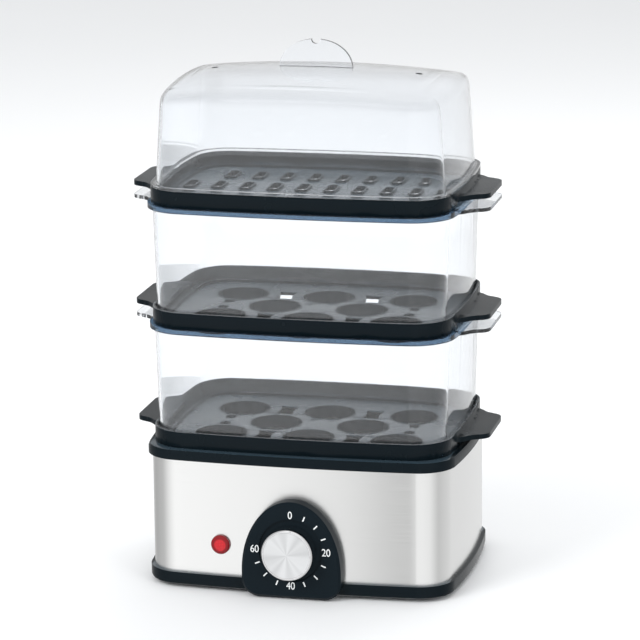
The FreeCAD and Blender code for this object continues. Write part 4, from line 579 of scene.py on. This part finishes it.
def outline(offset, corner):
    """Points round the bowed oblong in millimetres, drawn out by offset."""
    front_y, side_x = FRONT_RADIUS - HALF_DEPTH, SIDE_RADIUS - HALF_WIDTH
    reach_front, reach_side = FRONT_RADIUS - corner, SIDE_RADIUS - corner
    apart = math.hypot(side_x, front_y)
    along = (reach_front ** 2 - reach_side ** 2 + apart ** 2) / (2 * apart)
    across = math.sqrt(reach_front ** 2 - along ** 2)
    ux, uy = -side_x / apart, -front_y / apart
    cx = along * ux - across * uy
    cy = -abs(front_y + along * uy + across * ux)
    low, high = math.atan2(cy - front_y, cx), math.atan2(cy, cx + side_x)
    turn = math.pi
    arcs = [(0, front_y, FRONT_RADIUS, -turn - low, low), (cx, cy, corner, low, high),
            (-side_x, 0, SIDE_RADIUS, high, -high), (cx, -cy, corner, -high, -low),
            (0, -front_y, FRONT_RADIUS, -low, turn + low), (-cx, -cy, corner, turn + low, turn + high),
            (side_x, 0, SIDE_RADIUS, turn + high, turn - high), (-cx, cy, corner, turn - high, turn - low)]
    points = []
    for index, (x, y, radius, start, end) in enumerate(arcs):
        steps = STEPS[index % 4]
        for step in range(steps):
            angle = start + (end - start) * step / steps
            points.append((x + (radius + offset) * math.cos(angle), y + (radius + offset) * math.sin(angle)))
    return points


ROUND_COUNT = len(outline(0, BASE_CORNER))
print("points in a ring:", ROUND_COUNT)

# %% Rings and shells
def ring(level, offset, corner):
    """One ring of the outline as points in metres."""
    return [(x * MM, (y + SHIFT_Y) * MM, level * MM) for x, y in outline(offset, corner)]


def shell(name, rings, closed=True):
    """Join rings by four-sided faces; a closed shell joins the last ring to the first."""
    points = [point for one in rings for point in one]
    faces = []
    runs = len(rings) if closed else len(rings) - 1
    for i in range(runs):
        here, there = i * ROUND_COUNT, (i + 1) % len(rings) * ROUND_COUNT
        for k in range(ROUND_COUNT):
            after = (k + 1) % ROUND_COUNT
            faces.append((here + k, here + after, there + after, there + k))
    mesh = bpy.data.meshes.new(name)
    mesh.from_pydata(points, [], faces)
    return new_object(name, mesh)


def face_outwards(thing):
    tidy = bmesh.new()
    tidy.from_mesh(thing.data)
    bmesh.ops.recalc_face_normals(tidy, faces=tidy.faces)
    tidy.to_mesh(thing.data)
    tidy.free()
    return thing


def prism(name, corners, low, high, axis="Z"):
    """A flat form with the corners given in millimetres, between two levels along an axis."""
    spots = []
    for level in (low, high):
        for a, b in corners:
            spot = (a, b + SHIFT_Y, level) if axis == "Z" else (a, level + SHIFT_Y, b)
            spots.append([part * MM for part in spot])
    count = len(corners)
    faces = [tuple(range(count)), tuple(range(2 * count - 1, count - 1, -1))]
    for k in range(count):
        after = (k + 1) % count
        faces.append((k, count + k, count + after, after))
    mesh = bpy.data.meshes.new(name)
    mesh.from_pydata(spots, [], faces)
    return face_outwards(new_object(name, mesh))


def circle_points(x, y, radius, count=40):
    return [(x + radius * math.cos(2 * math.pi * k / count), y + radius * math.sin(2 * math.pi * k / count))
            for k in range(count)]


def combine(thing, tool, operation):
    """Add a tool form to a thing or cut it out, and throw the tool away."""
    modifier = thing.modifiers.new("combine", "BOOLEAN")
    modifier.object = tool
    modifier.operation = operation
    modifier.solver = "EXACT"
    settle(thing)
    bpy.data.objects.remove(tool)
    return thing


# %% [markdown]
# ### Steel sleeve
# One band of sheet, 0.6 mm thick, bent round the outline and brushed level. Dial, lamp and
# cord bush pass through round holes, and their pieces cover the holes' edges.

# %% Steel sleeve
SLEEVE_LOW, SLEEVE_HIGH, SLEEVE_SHEET = 11.5, 92.4, 0.6
FRONT, BACK, CUTTER_HALF = -1, 1, 8
DIAL_HOLE, LAMP_HOLE, CORD_HOLE = (0, 35.3, 21.1, FRONT), (*LAMP_AT, 5.1, FRONT), (0, 36.0, 6.1, BACK)
sleeve = face_outwards(shell("steel_sleeve_wall", [
    ring(SLEEVE_LOW, 0, BASE_CORNER), ring(SLEEVE_HIGH, 0, BASE_CORNER),
    ring(SLEEVE_HIGH, -SLEEVE_SHEET, BASE_CORNER), ring(SLEEVE_LOW, -SLEEVE_SHEET, BASE_CORNER)]))
for x, z, radius, side in (DIAL_HOLE, LAMP_HOLE, CORD_HOLE):
    reach = sorted((side * (HALF_DEPTH - CUTTER_HALF), side * (HALF_DEPTH + CUTTER_HALF)))
    combine(sleeve, prism("hole", circle_points(x, z, radius), *reach, axis="Y"), "DIFFERENCE")
smooth_by_angle(sleeve.data, 30.0)
adopt(sleeve, "steel_sleeve")
print("steel sleeve faces:", len(sleeve.data.polygons))

# %% [markdown]
# ### Clear containers
# A container is a moulding with one wall thickness. Its wall leans outwards from a foot that
# stands in the tray to a flange that carries the next tray, and a flat handle grows out of
# the flange at each end. Wall and flange are one shell, the handles are joined to it, and
# then all edges are rounded together.

# %% Containers
TRAY_LEVELS = dict(zip(("lower", "upper"), LEVELS))
CLEAR_WALL = 1.8
FOOT_RISE, FOOT_OFFSET, TOP_OFFSET = 0.9, -4.6, -2.4
FLANGE_OFFSET, FLANGE_HEIGHT = 1.1, 3.6
HANDLE_END, HANDLE_HALF, HANDLE_ROUND, HANDLE_STEPS = 126.0, 28.8, 9.0, 7
HANDLE_UNDER, HANDLE_OVER = 1.0, 1.6
MOULD_EDGE = {"edge": 0.0004, "angle": 40.0, "segments": 3}


def handle_points(side):
    """Plan of a handle: wide at the wall, hollow necks, round corners at the free edge."""
    half = [(104.2, 41.5), (109.3, 37.4), (110.7, 36.2), (112.0, 34.2), (114.0, 31.8), (116.5, 30.0),
            (119.0, 29.1)]
    for step in range(HANDLE_STEPS):
        turn = math.radians(90 - 15 * step)
        half.append((HANDLE_END - HANDLE_ROUND * (1 - math.cos(turn)),
                     HANDLE_HALF - HANDLE_ROUND * (1 - math.sin(turn))))
    run = [(x, -y) for x, y in half] + [(x, y) for x, y in reversed(half)]
    return [(side * x, y) for x, y in run]


def container(which, low):
    foot, top = low + FOOT_RISE, low + TIER_PITCH
    under = top - FLANGE_HEIGHT
    lean = (TOP_OFFSET - FOOT_OFFSET) / (top - foot)
    profile = [(foot, FOOT_OFFSET - CLEAR_WALL), (foot, FOOT_OFFSET),
               (under, FOOT_OFFSET + lean * (under - foot)), (under, FLANGE_OFFSET), (top, FLANGE_OFFSET),
               (top, TOP_OFFSET - CLEAR_WALL)]
    piece = face_outwards(shell("container_%s_clear" % which, [ring(z, o, TIER_CORNER) for z, o in profile]))
    for side in (-1, 1):
        combine(piece, prism("handle", handle_points(side), under - HANDLE_UNDER, under + HANDLE_OVER),
                "UNION")
    soften(piece, **MOULD_EDGE)
    return adopt(piece, "container_" + which)


for which, low in TRAY_LEVELS.items():
    made = container(which, low)
    print(made.name, "faces:", len(made.data.polygons))

# %% [markdown]
# ### Black trays
# The trays keep their CAD form, and only their handles are made again with hollow necks and
# round corners. The plain handle is cut off just outside the wall and the new one joined on.
# A low rib runs round the floor just inside the container's foot. It is a guess from a light
# line that the picture shows there.

# %% Trays
TRAY_RIM, HANDLE_LOW, HANDLE_HIGH, CUT_FROM = 11.2, 6.8, 3.4, 110.5
CUT_TO, CUT_HALF, CUT_PAST = 140, 50, 5
TRAY_FLOOR, RIB_OUT, RIB_IN, RIB_RISE, RIB_SINK = 10.3, -9.4, -10.8, 1.9, 0.3
ALL_TRAYS = tuple(zip(("egg_tray_lower", "egg_tray_upper", "steam_tray"), LEVELS))


def tray(node_name, low):
    rim = low + TRAY_RIM
    piece = merged_copy(node_name)
    for side in (-1, 1):
        corners = [(side * x, y) for x, y in ((CUT_FROM, -CUT_HALF), (CUT_TO, -CUT_HALF), (CUT_TO, CUT_HALF),
                                              (CUT_FROM, CUT_HALF))]
        combine(piece, prism("cutter", corners, low - CUT_PAST, rim + CUT_PAST), "DIFFERENCE")
        combine(piece, prism("handle", handle_points(side), rim - HANDLE_LOW, rim - HANDLE_HIGH), "UNION")
    soften(piece, 0.0)
    return adopt(piece, node_name)


def tray_rib(node_name, low):
    floor = low + TRAY_RIM - TRAY_FLOOR
    foot, top = floor - RIB_SINK, floor + RIB_RISE
    rings = [ring(z, offset, TIER_CORNER)
             for z, offset in ((foot, RIB_OUT), (top, RIB_OUT), (top, RIB_IN), (foot, RIB_IN))]
    rib = face_outwards(shell(node_name + "_rib", rings))
    give_finish(rib, black_plastic)
    soften(rib, 0.0004)
    return carry(rib, node_name)


for node_name, low in ALL_TRAYS:
    print(tray(node_name, low).name, len(tray_rib(node_name, low).data.polygons))

# %% [markdown]
# ### Lid
# The lid is a shell too. Its wall leans inwards and turns over a wide rounded shoulder into
# a top that is crowned both ways. Going inwards from the shoulder, each ring is the one
# before it drawn in towards the middle, and its height comes from the crown's two radii.
# Where shoulder and crown meet, the lower of the two heights is taken, with a soft change
# between them. The inner face is the same form, 1.8 mm smaller.

# %% Lid
LID_FOOT, LID_SHOULDER, LID_CROWN = 280.0, 72.2, 76.0
CROWN_X, CROWN_Y, LID_INSET, LID_ROUND = 900.0, 256.0, 4.9, 17.0
LID_DRAFT = math.radians(4.0)
BLEND = 4.5
SHOULDER_STEPS, CROWN_STEPS = 14, 22
GRIP_HALF, GRIP_HEIGHT, GRIP_THICKNESS, NOTCH = 25.6, 19.0, 3.0, 3.2
GRIP_SINK, GRIP_FLARE = 1.3, 0.4
SPIGOT_DEPTH, SPIGOT_OFFSET, LEDGE_OFFSET, LEDGE_HEIGHT = 2.5, -3.8, -1.2, 2.0
LID_VENTS, VENT_RADIUS, VENT_FROM, VENT_TO = (-72.0, 72.0), 2.4, 340.0, 362.0


def crown_height(x, y, shrink):
    """Level of the crowned top over a point, for the outer face or the inner one."""
    radius_y, radius_x, top = CROWN_Y - shrink, CROWN_X, LID_FOOT + LID_CROWN - shrink
    middle = top - radius_y + math.sqrt(radius_y ** 2 - y ** 2)
    axis = LID_FOOT + LID_CROWN - radius_x
    return axis + math.sqrt((middle - axis) ** 2 - x ** 2)


def lower_of(a, b):
    """The lower of two heights, with a soft change where they are close."""
    share = min(max(0.5 + 0.5 * (b - a) / BLEND, 0.0), 1.0)
    return b + (a - b) * share - BLEND * share * (1 - share)


def lid_face(shrink, low):
    """Rings of one face of the lid from its foot to the middle of its top."""
    radius = LID_ROUND - shrink
    middle = LID_FOOT + LID_SHOULDER - LID_ROUND
    centre = -LID_INSET - (LID_SHOULDER - LID_ROUND) * math.tan(LID_DRAFT) - LID_ROUND
    rings = [[(x, y, low) for x, y in outline(-LID_INSET - shrink, TIER_CORNER)]]
    for step in range(SHOULDER_STEPS + 1):
        angle = LID_DRAFT + (math.pi / 2 - LID_DRAFT) * step / SHOULDER_STEPS
        height = middle + radius * math.sin(angle)
        plan = outline(centre + radius * math.cos(angle), TIER_CORNER)
        rings.append([(x, y, lower_of(height, crown_height(x, y, shrink))) for x, y in plan])
    edge = outline(centre, TIER_CORNER)
    for step in range(1, CROWN_STEPS):
        share = 1 - step / CROWN_STEPS
        rings.append([(x * share, y * share, crown_height(x * share, y * share, shrink)) for x, y in edge])
    return [[(x * MM, (y + SHIFT_Y) * MM, z * MM) for x, y, z in one] for one in rings]


def grip_outline():
    """Half-round grip with a small round notch in the middle of its top."""
    foot = LID_FOOT + LID_CROWN
    right = [(GRIP_HALF + GRIP_FLARE, foot - GRIP_SINK)]
    for angle in range(4, 79, 5):
        turn = math.radians(angle)
        right.append((GRIP_HALF * math.cos(turn) ** 0.94, foot + GRIP_HEIGHT * math.sin(turn) ** 1.04))
    right.append((NOTCH, foot + GRIP_HEIGHT))
    for angle in range(15, 91, 15):
        turn = math.radians(angle)
        right.append((NOTCH * math.cos(turn), foot + GRIP_HEIGHT - NOTCH * math.sin(turn)))
    left = [(-x, z) for x, z in reversed(right) if x > 0.01]
    return right + left


def make_lid():
    outer = lid_face(0.0, LID_FOOT)
    inner = lid_face(CLEAR_WALL, LID_FOOT - SPIGOT_DEPTH)
    slope = LEDGE_HEIGHT * math.tan(LID_DRAFT)
    foot = [ring(LID_FOOT + rise, offset, TIER_CORNER)
            for rise, offset in ((-SPIGOT_DEPTH, SPIGOT_OFFSET), (0, SPIGOT_OFFSET), (0, LEDGE_OFFSET),
                                 (LEDGE_HEIGHT, LEDGE_OFFSET), (LEDGE_HEIGHT, -LID_INSET - slope))]
    piece = shell("lid_clear", [inner[0]] + foot + outer[1:], closed=False)
    other = shell("lid_inner", inner, closed=False)
    whole = bmesh.new()
    whole.from_mesh(piece.data)
    whole.from_mesh(other.data)
    bmesh.ops.remove_doubles(whole, verts=whole.verts, dist=0.00001)
    rims = [edge for edge in whole.edges if edge.is_boundary]
    bmesh.ops.holes_fill(whole, edges=rims, sides=0)
    bmesh.ops.recalc_face_normals(whole, faces=whole.faces)
    whole.to_mesh(piece.data)
    whole.free()
    bpy.data.objects.remove(other)
    combine(piece, prism("grip", grip_outline(), -GRIP_THICKNESS / 2, GRIP_THICKNESS / 2, axis="Y"), "UNION")
    for x in LID_VENTS:
        combine(piece, prism("vent", circle_points(x, 0, VENT_RADIUS), VENT_FROM, VENT_TO), "DIFFERENCE")
    soften(piece, **MOULD_EDGE)
    return adopt(piece, "lid")


lid = make_lid()
print("lid faces:", len(lid.data.polygons))

# %% [markdown]
# ## Egg cups
# The trays' holes look mid grey in the picture, not open. A short tube under each hole is a
# guess that gives them that look. Its upper edge is rounded. All eight tubes of a tray are
# alike, so one profile is turned into a tube by Geometry Nodes and placed on eight points: a
# mesh of single points carries their places, and the tree does the rest.

# %% Tubes and rims on points
ROUNDED_BY, SECTION_STEPS = 0.4, 3
ALMOST_ALL = 0.9999


def points_to_pieces(tree, points, instance, end, finish, **choice):
    """Close a tree: place a form on the points, make it real and give it its finish."""
    placed = add_node(tree, "GeometryNodeInstanceOnPoints", Points=points, Instance=instance, **choice)
    real = add_node(tree, "GeometryNodeRealizeInstances", Geometry=placed.outputs[0])
    done = add_node(tree, "GeometryNodeSetMaterial", Geometry=real.outputs[0], Material=finish)
    feed(end.inputs[0], done.outputs[0])
    return tree


def rectangle(tree, width, height, radius, steps):
    """A rectangle curve with round corners."""
    plain = add_node(tree, "GeometryNodeCurvePrimitiveQuadrilateral", mode="RECTANGLE", Width=width,
                     Height=height)
    return add_node(tree, "GeometryNodeFilletCurve", mode="POLY", Curve=plain.outputs["Curve"],
                    Radius=radius, Count=steps).outputs["Curve"]


def ring_tree():
    """A closed tube with a rounded top on every point: a profile curve swept round a path."""
    tree, start, end = new_group(
        "Rims on points",
        [("Points", "Geometry"), ("Radius", "Float"), ("Half length", "Float"), ("Wall", "Float"),
         ("Height", "Float"), ("Corner steps", "Int"), ("Finish", "Material")],
        [("Geometry", "Geometry")], "GeometryNodeTree")
    wall = start["Wall"]
    half_wall = calc(tree, "MULTIPLY", wall, 0.5)
    radius, length = (calc(tree, "ADD", start[title], half_wall) for title in ("Radius", "Half length"))
    path = rectangle(tree, calc(tree, "MULTIPLY", radius, 2.0), calc(tree, "MULTIPLY", length, 2.0),
                     calc(tree, "MULTIPLY", radius, ALMOST_ALL), start["Corner steps"])
    section = rectangle(tree, wall, start["Height"], calc(tree, "MULTIPLY", wall, ROUNDED_BY), SECTION_STEPS)
    tube = add_node(tree, "GeometryNodeCurveToMesh", Curve=path, Profile_Curve=section)
    return points_to_pieces(tree, start["Points"], tube.outputs[0], end, start["Finish"])


RIMS = ring_tree()
print("tree", RIMS.name, "has", len(RIMS.nodes), "nodes")


def run_tree(name, tree, points=(), **sizes):
    """Run a Geometry Nodes tree on a mesh of points and keep the result as a plain mesh."""
    mesh = bpy.data.meshes.new(name)
    mesh.from_pydata([Vector(point) * MM for point in points], [], [])
    carrier = new_object(name, mesh)
    modifier = carrier.modifiers.new("nodes", "NODES")
    modifier.node_group = tree
    named = {item.name: item.identifier for item in tree.interface.items_tree if item.in_out == "INPUT"}
    for title, setting in sizes.items():
        modifier[named[title.replace("_", " ")]] = setting
    return settle(carrier)


def rims_on(name, spots, level, radius, half_length, wall, height, steps, body):
    """Rims or tubes on a list of spots in millimetres, carried by a tray's body."""
    rims = run_tree(name, RIMS, points=[(x, y + SHIFT_Y, level) for x, y in spots], Radius=radius * MM,
                    Half_length=half_length * MM, Wall=wall * MM, Height=height * MM, Corner_steps=steps,
                    Finish=black_plastic)
    face_outwards(rims)
    smooth_by_angle(rims.data, 40.0)
    return carry(rims, body)


# %% Egg cups
EGG_RADIUS, EGG_PITCH, EGG_ROW, EGG_LAP = 18.4, 62.5, 33.0, 0.35
CUP_WALL, CUP_DEPTH, CUP_RISE, FLOOR_THICKNESS = 1.4, 7.2, 0.25, 2.4
EGG_SPOTS = [(x * EGG_PITCH, y * EGG_ROW) for x, y in
             ((-1, 1), (0, 1), (1, 1), (-0.5, 0), (0.5, 0), (-1, -1), (0, -1), (1, -1))]


def egg_cups(which, low):
    height = CUP_DEPTH + FLOOR_THICKNESS
    middle = low + FOOT_RISE - height / 2 + CUP_RISE
    inner = EGG_RADIUS - EGG_LAP
    return rims_on("egg_cups_" + which, EGG_SPOTS, middle, inner, inner, CUP_WALL, height, 16,
                   "egg_tray_" + which)


for which, low in TRAY_LEVELS.items():
    print(egg_cups(which, low).name, "made")

# %% [markdown]
# ## Raised rims of the steam slots
# Every slot in the steam tray has a low rim, which may keep condensed water on the tray. The
# rims are the same tree again, now on an oblong path.

# %% Steam slot rims
STEAM_PITCH_X, STEAM_PITCH_Y, STEAM_COLUMNS = 20.0, 37.0, 8
STEAM_RADIUS, STEAM_HALF, RIM_WALL, RIM_RISE, RIM_LAP = 3.6, 10.5, 1.5, 1.3, 0.5
STEAM_FLOOR, RIM_SINK = rim_high[2] / MM - 10.3, 0.35
spots = []
for row in (-1, 0, 1):
    columns = STEAM_COLUMNS + (2 if row == 0 else 0)
    for column in range(columns):
        spots.append(((column - (columns - 1) / 2) * STEAM_PITCH_X, row * STEAM_PITCH_Y))
rims_on("steam_rims", spots, STEAM_FLOOR - RIM_SINK, STEAM_RADIUS - RIM_LAP, STEAM_HALF - RIM_LAP,
        RIM_WALL, FLOOR_THICKNESS + RIM_RISE, 7, "steam_tray")
print("steam rims:", len(spots))

# %% [markdown]
# ## The printed dial
# White marks are printed on the dial plate round the knob: 0 at the top, then 20, 40 and 60
# a quarter of a turn apart, with three ticks between neighbours. The ticks repeat round a
# circle, which is what Geometry Nodes are good at. A line of points is bent into an arc, one
# small block is placed on each, and a selection leaves out the places where a number stands.
# The numbers are text turned into a mesh. All of it stands a tenth of a millimetre proud.

# %% Dial sizes
INK = 0.1 * MM
MARK_RADIUS = 25.2 * MM
TICK_LENGTH = 3.5 * MM
TICK_WIDTH = 0.9 * MM
NUMBER_HEIGHT = 5.3 * MM
STEP_DEGREES = 22.5
LAST_STEP, STEPS_PER_NUMBER = 12, 4.0
print("tick every", STEP_DEGREES, "degrees")

# %% Ticks with Geometry Nodes
def tick_tree():
    tree, start, end = new_group(
        "Dial ticks",
        [("Steps", "Int"), ("Step angle", "Float"), ("Radius", "Float"), ("Length", "Float"),
         ("Width", "Float"), ("Thickness", "Float"), ("Ink", "Material")],
        [("Geometry", "Geometry")], "GeometryNodeTree")
    places = add_node(tree, "GeometryNodeMeshLine", Count=start["Steps"])
    counted = add_node(tree, "GeometryNodeInputIndex").outputs[0]
    angle = calc(tree, "MULTIPLY", counted, start["Step angle"])
    spot = add_node(tree, "ShaderNodeCombineXYZ", X=calc(tree, "SINE", angle), Z=calc(tree, "COSINE", angle))
    scaled = add_node(tree, "ShaderNodeVectorMath", operation="SCALE", Vector=spot.outputs[0],
                      Scale=start["Radius"])
    moved = add_node(tree, "GeometryNodeSetPosition", Geometry=places.outputs[0], Position=scaled.outputs[0])
    turned = add_node(tree, "ShaderNodeCombineXYZ", Y=angle)
    size = add_node(tree, "ShaderNodeCombineXYZ", X=start["Width"], Y=start["Thickness"], Z=start["Length"])
    block = add_node(tree, "GeometryNodeMeshCube", Size=size.outputs[0])
    between = add_node(tree, "FunctionNodeCompare", data_type="FLOAT", operation="GREATER_THAN")
    for index, value in enumerate((calc(tree, "MODULO", counted, STEPS_PER_NUMBER), 0.5)):
        feed(between.inputs[index], value)
    return points_to_pieces(tree, moved.outputs[0], block.outputs["Mesh"], end, start["Ink"],
                            Selection=between.outputs[0], Rotation=turned.outputs[0])


def put(thing, matrix):
    """Move a mesh's points and leave its object at the origin."""
    thing.data.transform(matrix)
    thing.matrix_world = Matrix.Identity(4)
    return thing


ticks = run_tree("dial_ticks", tick_tree(), Steps=LAST_STEP + 1, Step_angle=math.radians(STEP_DEGREES),
                 Radius=MARK_RADIUS, Length=TICK_LENGTH, Width=TICK_WIDTH, Thickness=2 * INK, Ink=white_print)
put(ticks, Matrix.Translation((AXIS_X, BEZEL_FACE_Y, AXIS_Z)))
carry(ticks, "base")
print("ticks:", len(ticks.data.polygons) // 6)

# %% Numbers
CAPITAL_SHARE, NARROWING = 0.7, 0.86
PEN_SWELL, LETTER_SPACING, LETTER_STEPS = 0.02 * MM, 0.95, 6


def number(text, angle):
    """A printed number upright at its place on the dial."""
    curve = bpy.data.curves.new("number_" + text, "FONT")
    curve.body = text
    curve.size = NUMBER_HEIGHT / CAPITAL_SHARE
    curve.align_x = "CENTER"
    curve.align_y = "CENTER"
    curve.extrude = INK
    curve.offset = PEN_SWELL
    curve.resolution_u = LETTER_STEPS
    curve.space_character = LETTER_SPACING
    carrier = new_object("number_" + text, curve)
    bpy.context.view_layer.update()
    mesh = bpy.data.meshes.new_from_object(carrier.evaluated_get(bpy.context.evaluated_depsgraph_get()))
    bpy.data.objects.remove(carrier)
    piece = new_object("dial_number_" + text, mesh)
    centre = (AXIS_X + MARK_RADIUS * math.sin(angle), BEZEL_FACE_Y, AXIS_Z + MARK_RADIUS * math.cos(angle))
    narrow = Matrix.Diagonal((NARROWING, 1, 1, 1))
    put(piece, Matrix.Translation(centre) @ Matrix.Rotation(math.radians(90), 4, "X") @ narrow)
    give_finish(piece, white_print)
    return carry(piece, "base")


for index, text in enumerate(("0", "20", "40", "60")):
    number(text, index * math.radians(90))
print("numbers: 0 20 40 60")

# %% [markdown]
# ## Studio
# A wide pale floor meets a pale world. The camera and the clear plastic see the world a
# little brighter than it lights the object. Reflections see it as upright panels, pale and
# less pale by turns, as a photographer would stand them round a shiny thing: `PANELS` gives
# their directions, in degrees from the front, and their levels. Reflections don't see the
# floor, which would otherwise fill the upright steel. Three soft area lamps do the modelling:
# a broad one from the upper left, a weaker one from the right, and one from above and behind
# that draws light lines on the rims. They are hidden from reflections too, where they would
# stand as hard white patches.

# %% Floor and world
PALE = (0.96, 0.965, 0.97)
FLOOR_EDGE = 12.0
WORLD_LIGHT, WORLD_SEEN = 0.92, 0.95
PANEL_LIGHT, PANEL_GREEN = 1.12, 1.002
PANELS = ((-180, 0.74), (-120, 0.4), (-75, 0.5), (-50, 0.8), (-27, 1.0), (-13, 0.86), (-8, 0.78),
          (-5, 0.56), (-2.5, 0.36), (0.5, 0.86), (20, 0.87), (48, 0.82), (80, 0.55), (110, 0.62),
          (150, 0.7), (180, 0.74))


def studio_floor():
    mesh = bpy.data.meshes.new("studio_floor")
    corners = [(x * FLOOR_EDGE, y * FLOOR_EDGE, 0) for x, y in ((-1, -1), (1, -1), (1, 1), (-1, 1))]
    mesh.from_pydata(corners, [], [(0, 1, 2, 3)])
    floor = new_object("studio_floor", mesh)
    give_finish(floor, mottled("Studio floor", 1.5, (0.87, 0.88, 0.89), (0.9, 0.91, 0.92), Roughness=0.6,
                               Specular_IOR_Level=0.2))
    floor.visible_glossy = False
    return floor


def studio_world():
    """Pale all round; metal and plastic see it as the upright panels of PANELS."""
    world = bpy.data.worlds.new("Studio")
    world.use_nodes = True
    bpy.context.scene.world = world
    tree = world.node_tree
    path = add_node(tree, "ShaderNodeLightPath").outputs
    seen = calc(tree, "MAXIMUM", path["Is Camera Ray"], path["Is Transmission Ray"])
    strength = add_node(tree, "ShaderNodeMapRange", Value=seen, To_Min=WORLD_LIGHT, To_Max=WORLD_SEEN)
    parts = parts_of(tree, add_node(tree, "ShaderNodeTexCoord").outputs["Generated"])
    azimuth = calc(tree, "ARCTAN2", parts["X"], calc(tree, "MULTIPLY", parts["Y"], -1.0))
    share = add_node(tree, "ShaderNodeMapRange", Value=azimuth, From_Min=-math.pi, From_Max=math.pi)
    panels = add_node(tree, "ShaderNodeValToRGB", Fac=share.outputs["Result"])
    stops = panels.color_ramp.elements
    for index, (degrees, level) in enumerate(PANELS):
        place = degrees / 360 + 0.5
        stop = stops[index] if index < 2 else stops.new(place)
        stop.position = place
        stop.color = (level, level * PANEL_GREEN, level, 1)
    mirrored = calc(tree, "MULTIPLY", panels.outputs["Color"], PANEL_LIGHT)
    chosen = add_node(tree, "ShaderNodeMix", data_type="FLOAT")
    for index, value in ((0, path["Is Glossy Ray"]), (2, strength.outputs["Result"]), (3, mirrored)):
        feed(chosen.inputs[index], value)
    fill(tree.nodes["Background"], Color=PALE, Strength=chosen.outputs[0])
    return world


studio_floor()
studio_world()
print("floor and world ready")

# %% Lamps
SOFTBOXES = (
    ("key_softbox", (-1.1, -1.5, 1.3), (0, 0, 0.15), (1.0, 1.0), 22.0),
    ("fill_softbox", (1.5, -1.2, 0.7), (0, 0, 0.15), (0.8, 1.2), 9.0),
    ("rim_softbox", (0.2, 1.3, 1.5), (0, 0, 0.2), (1.4, 0.6), 12.0))


def soft_lamp(name, place, target, size, watts):
    light = bpy.data.lights.new(name, "AREA")
    light.shape = "RECTANGLE"
    light.size, light.size_y = size
    light.energy = watts
    lamp = new_object(name, light)
    aim = (Vector(target) - Vector(place)).to_track_quat("-Z", "Y")
    lamp.matrix_world = Matrix.Translation(place) @ aim.to_matrix().to_4x4()
    lamp.visible_glossy = False
    lamp.visible_transmission = False
    return lamp


for softbox in SOFTBOXES:
    soft_lamp(*softbox)
print("lamps:", len(SOFTBOXES))

# %% [markdown]
# ## Camera
# The camera stands a long way off with a long lens, a little to the right of the dial and a
# little above it, so the tiers show their fronts almost square. Its place, the direction it
# looks back along and its slight roll were worked out from the proportions of the object.

# %% Camera
AZIMUTH, ELEVATION, ROLL = math.radians(13.362), math.radians(13.702), math.radians(0.52)
CAMERA_PLACE = Vector((0.5432, -2.2829 + SHIFT_Y * MM, 0.7486))
LENS_MM, SENSOR_MM = 194.2, 36.0


def studio_camera():
    back = Vector((math.sin(AZIMUTH) * math.cos(ELEVATION), -math.cos(AZIMUTH) * math.cos(ELEVATION),
                   math.sin(ELEVATION)))
    right = Vector((math.cos(AZIMUTH), math.sin(AZIMUTH), 0))
    up = back.cross(right)
    rolled_right = right * math.cos(ROLL) - up * math.sin(ROLL)
    rolled_up = right * math.sin(ROLL) + up * math.cos(ROLL)
    turn = Matrix((rolled_right, rolled_up, back)).transposed().to_4x4()
    data = bpy.data.cameras.new("studio_camera")
    data.sensor_width = SENSOR_MM
    data.lens = LENS_MM
    camera = new_object("studio_camera", data)
    camera.matrix_world = Matrix.Translation(CAMERA_PLACE) @ turn
    bpy.context.scene.camera = camera
    return camera


studio_camera()
bpy.context.scene.view_settings.view_transform = "Standard"
print("camera ready")

# %% A box as plain lists
def plain(box):
    return [[float(number) for number in corner] for corner in box]
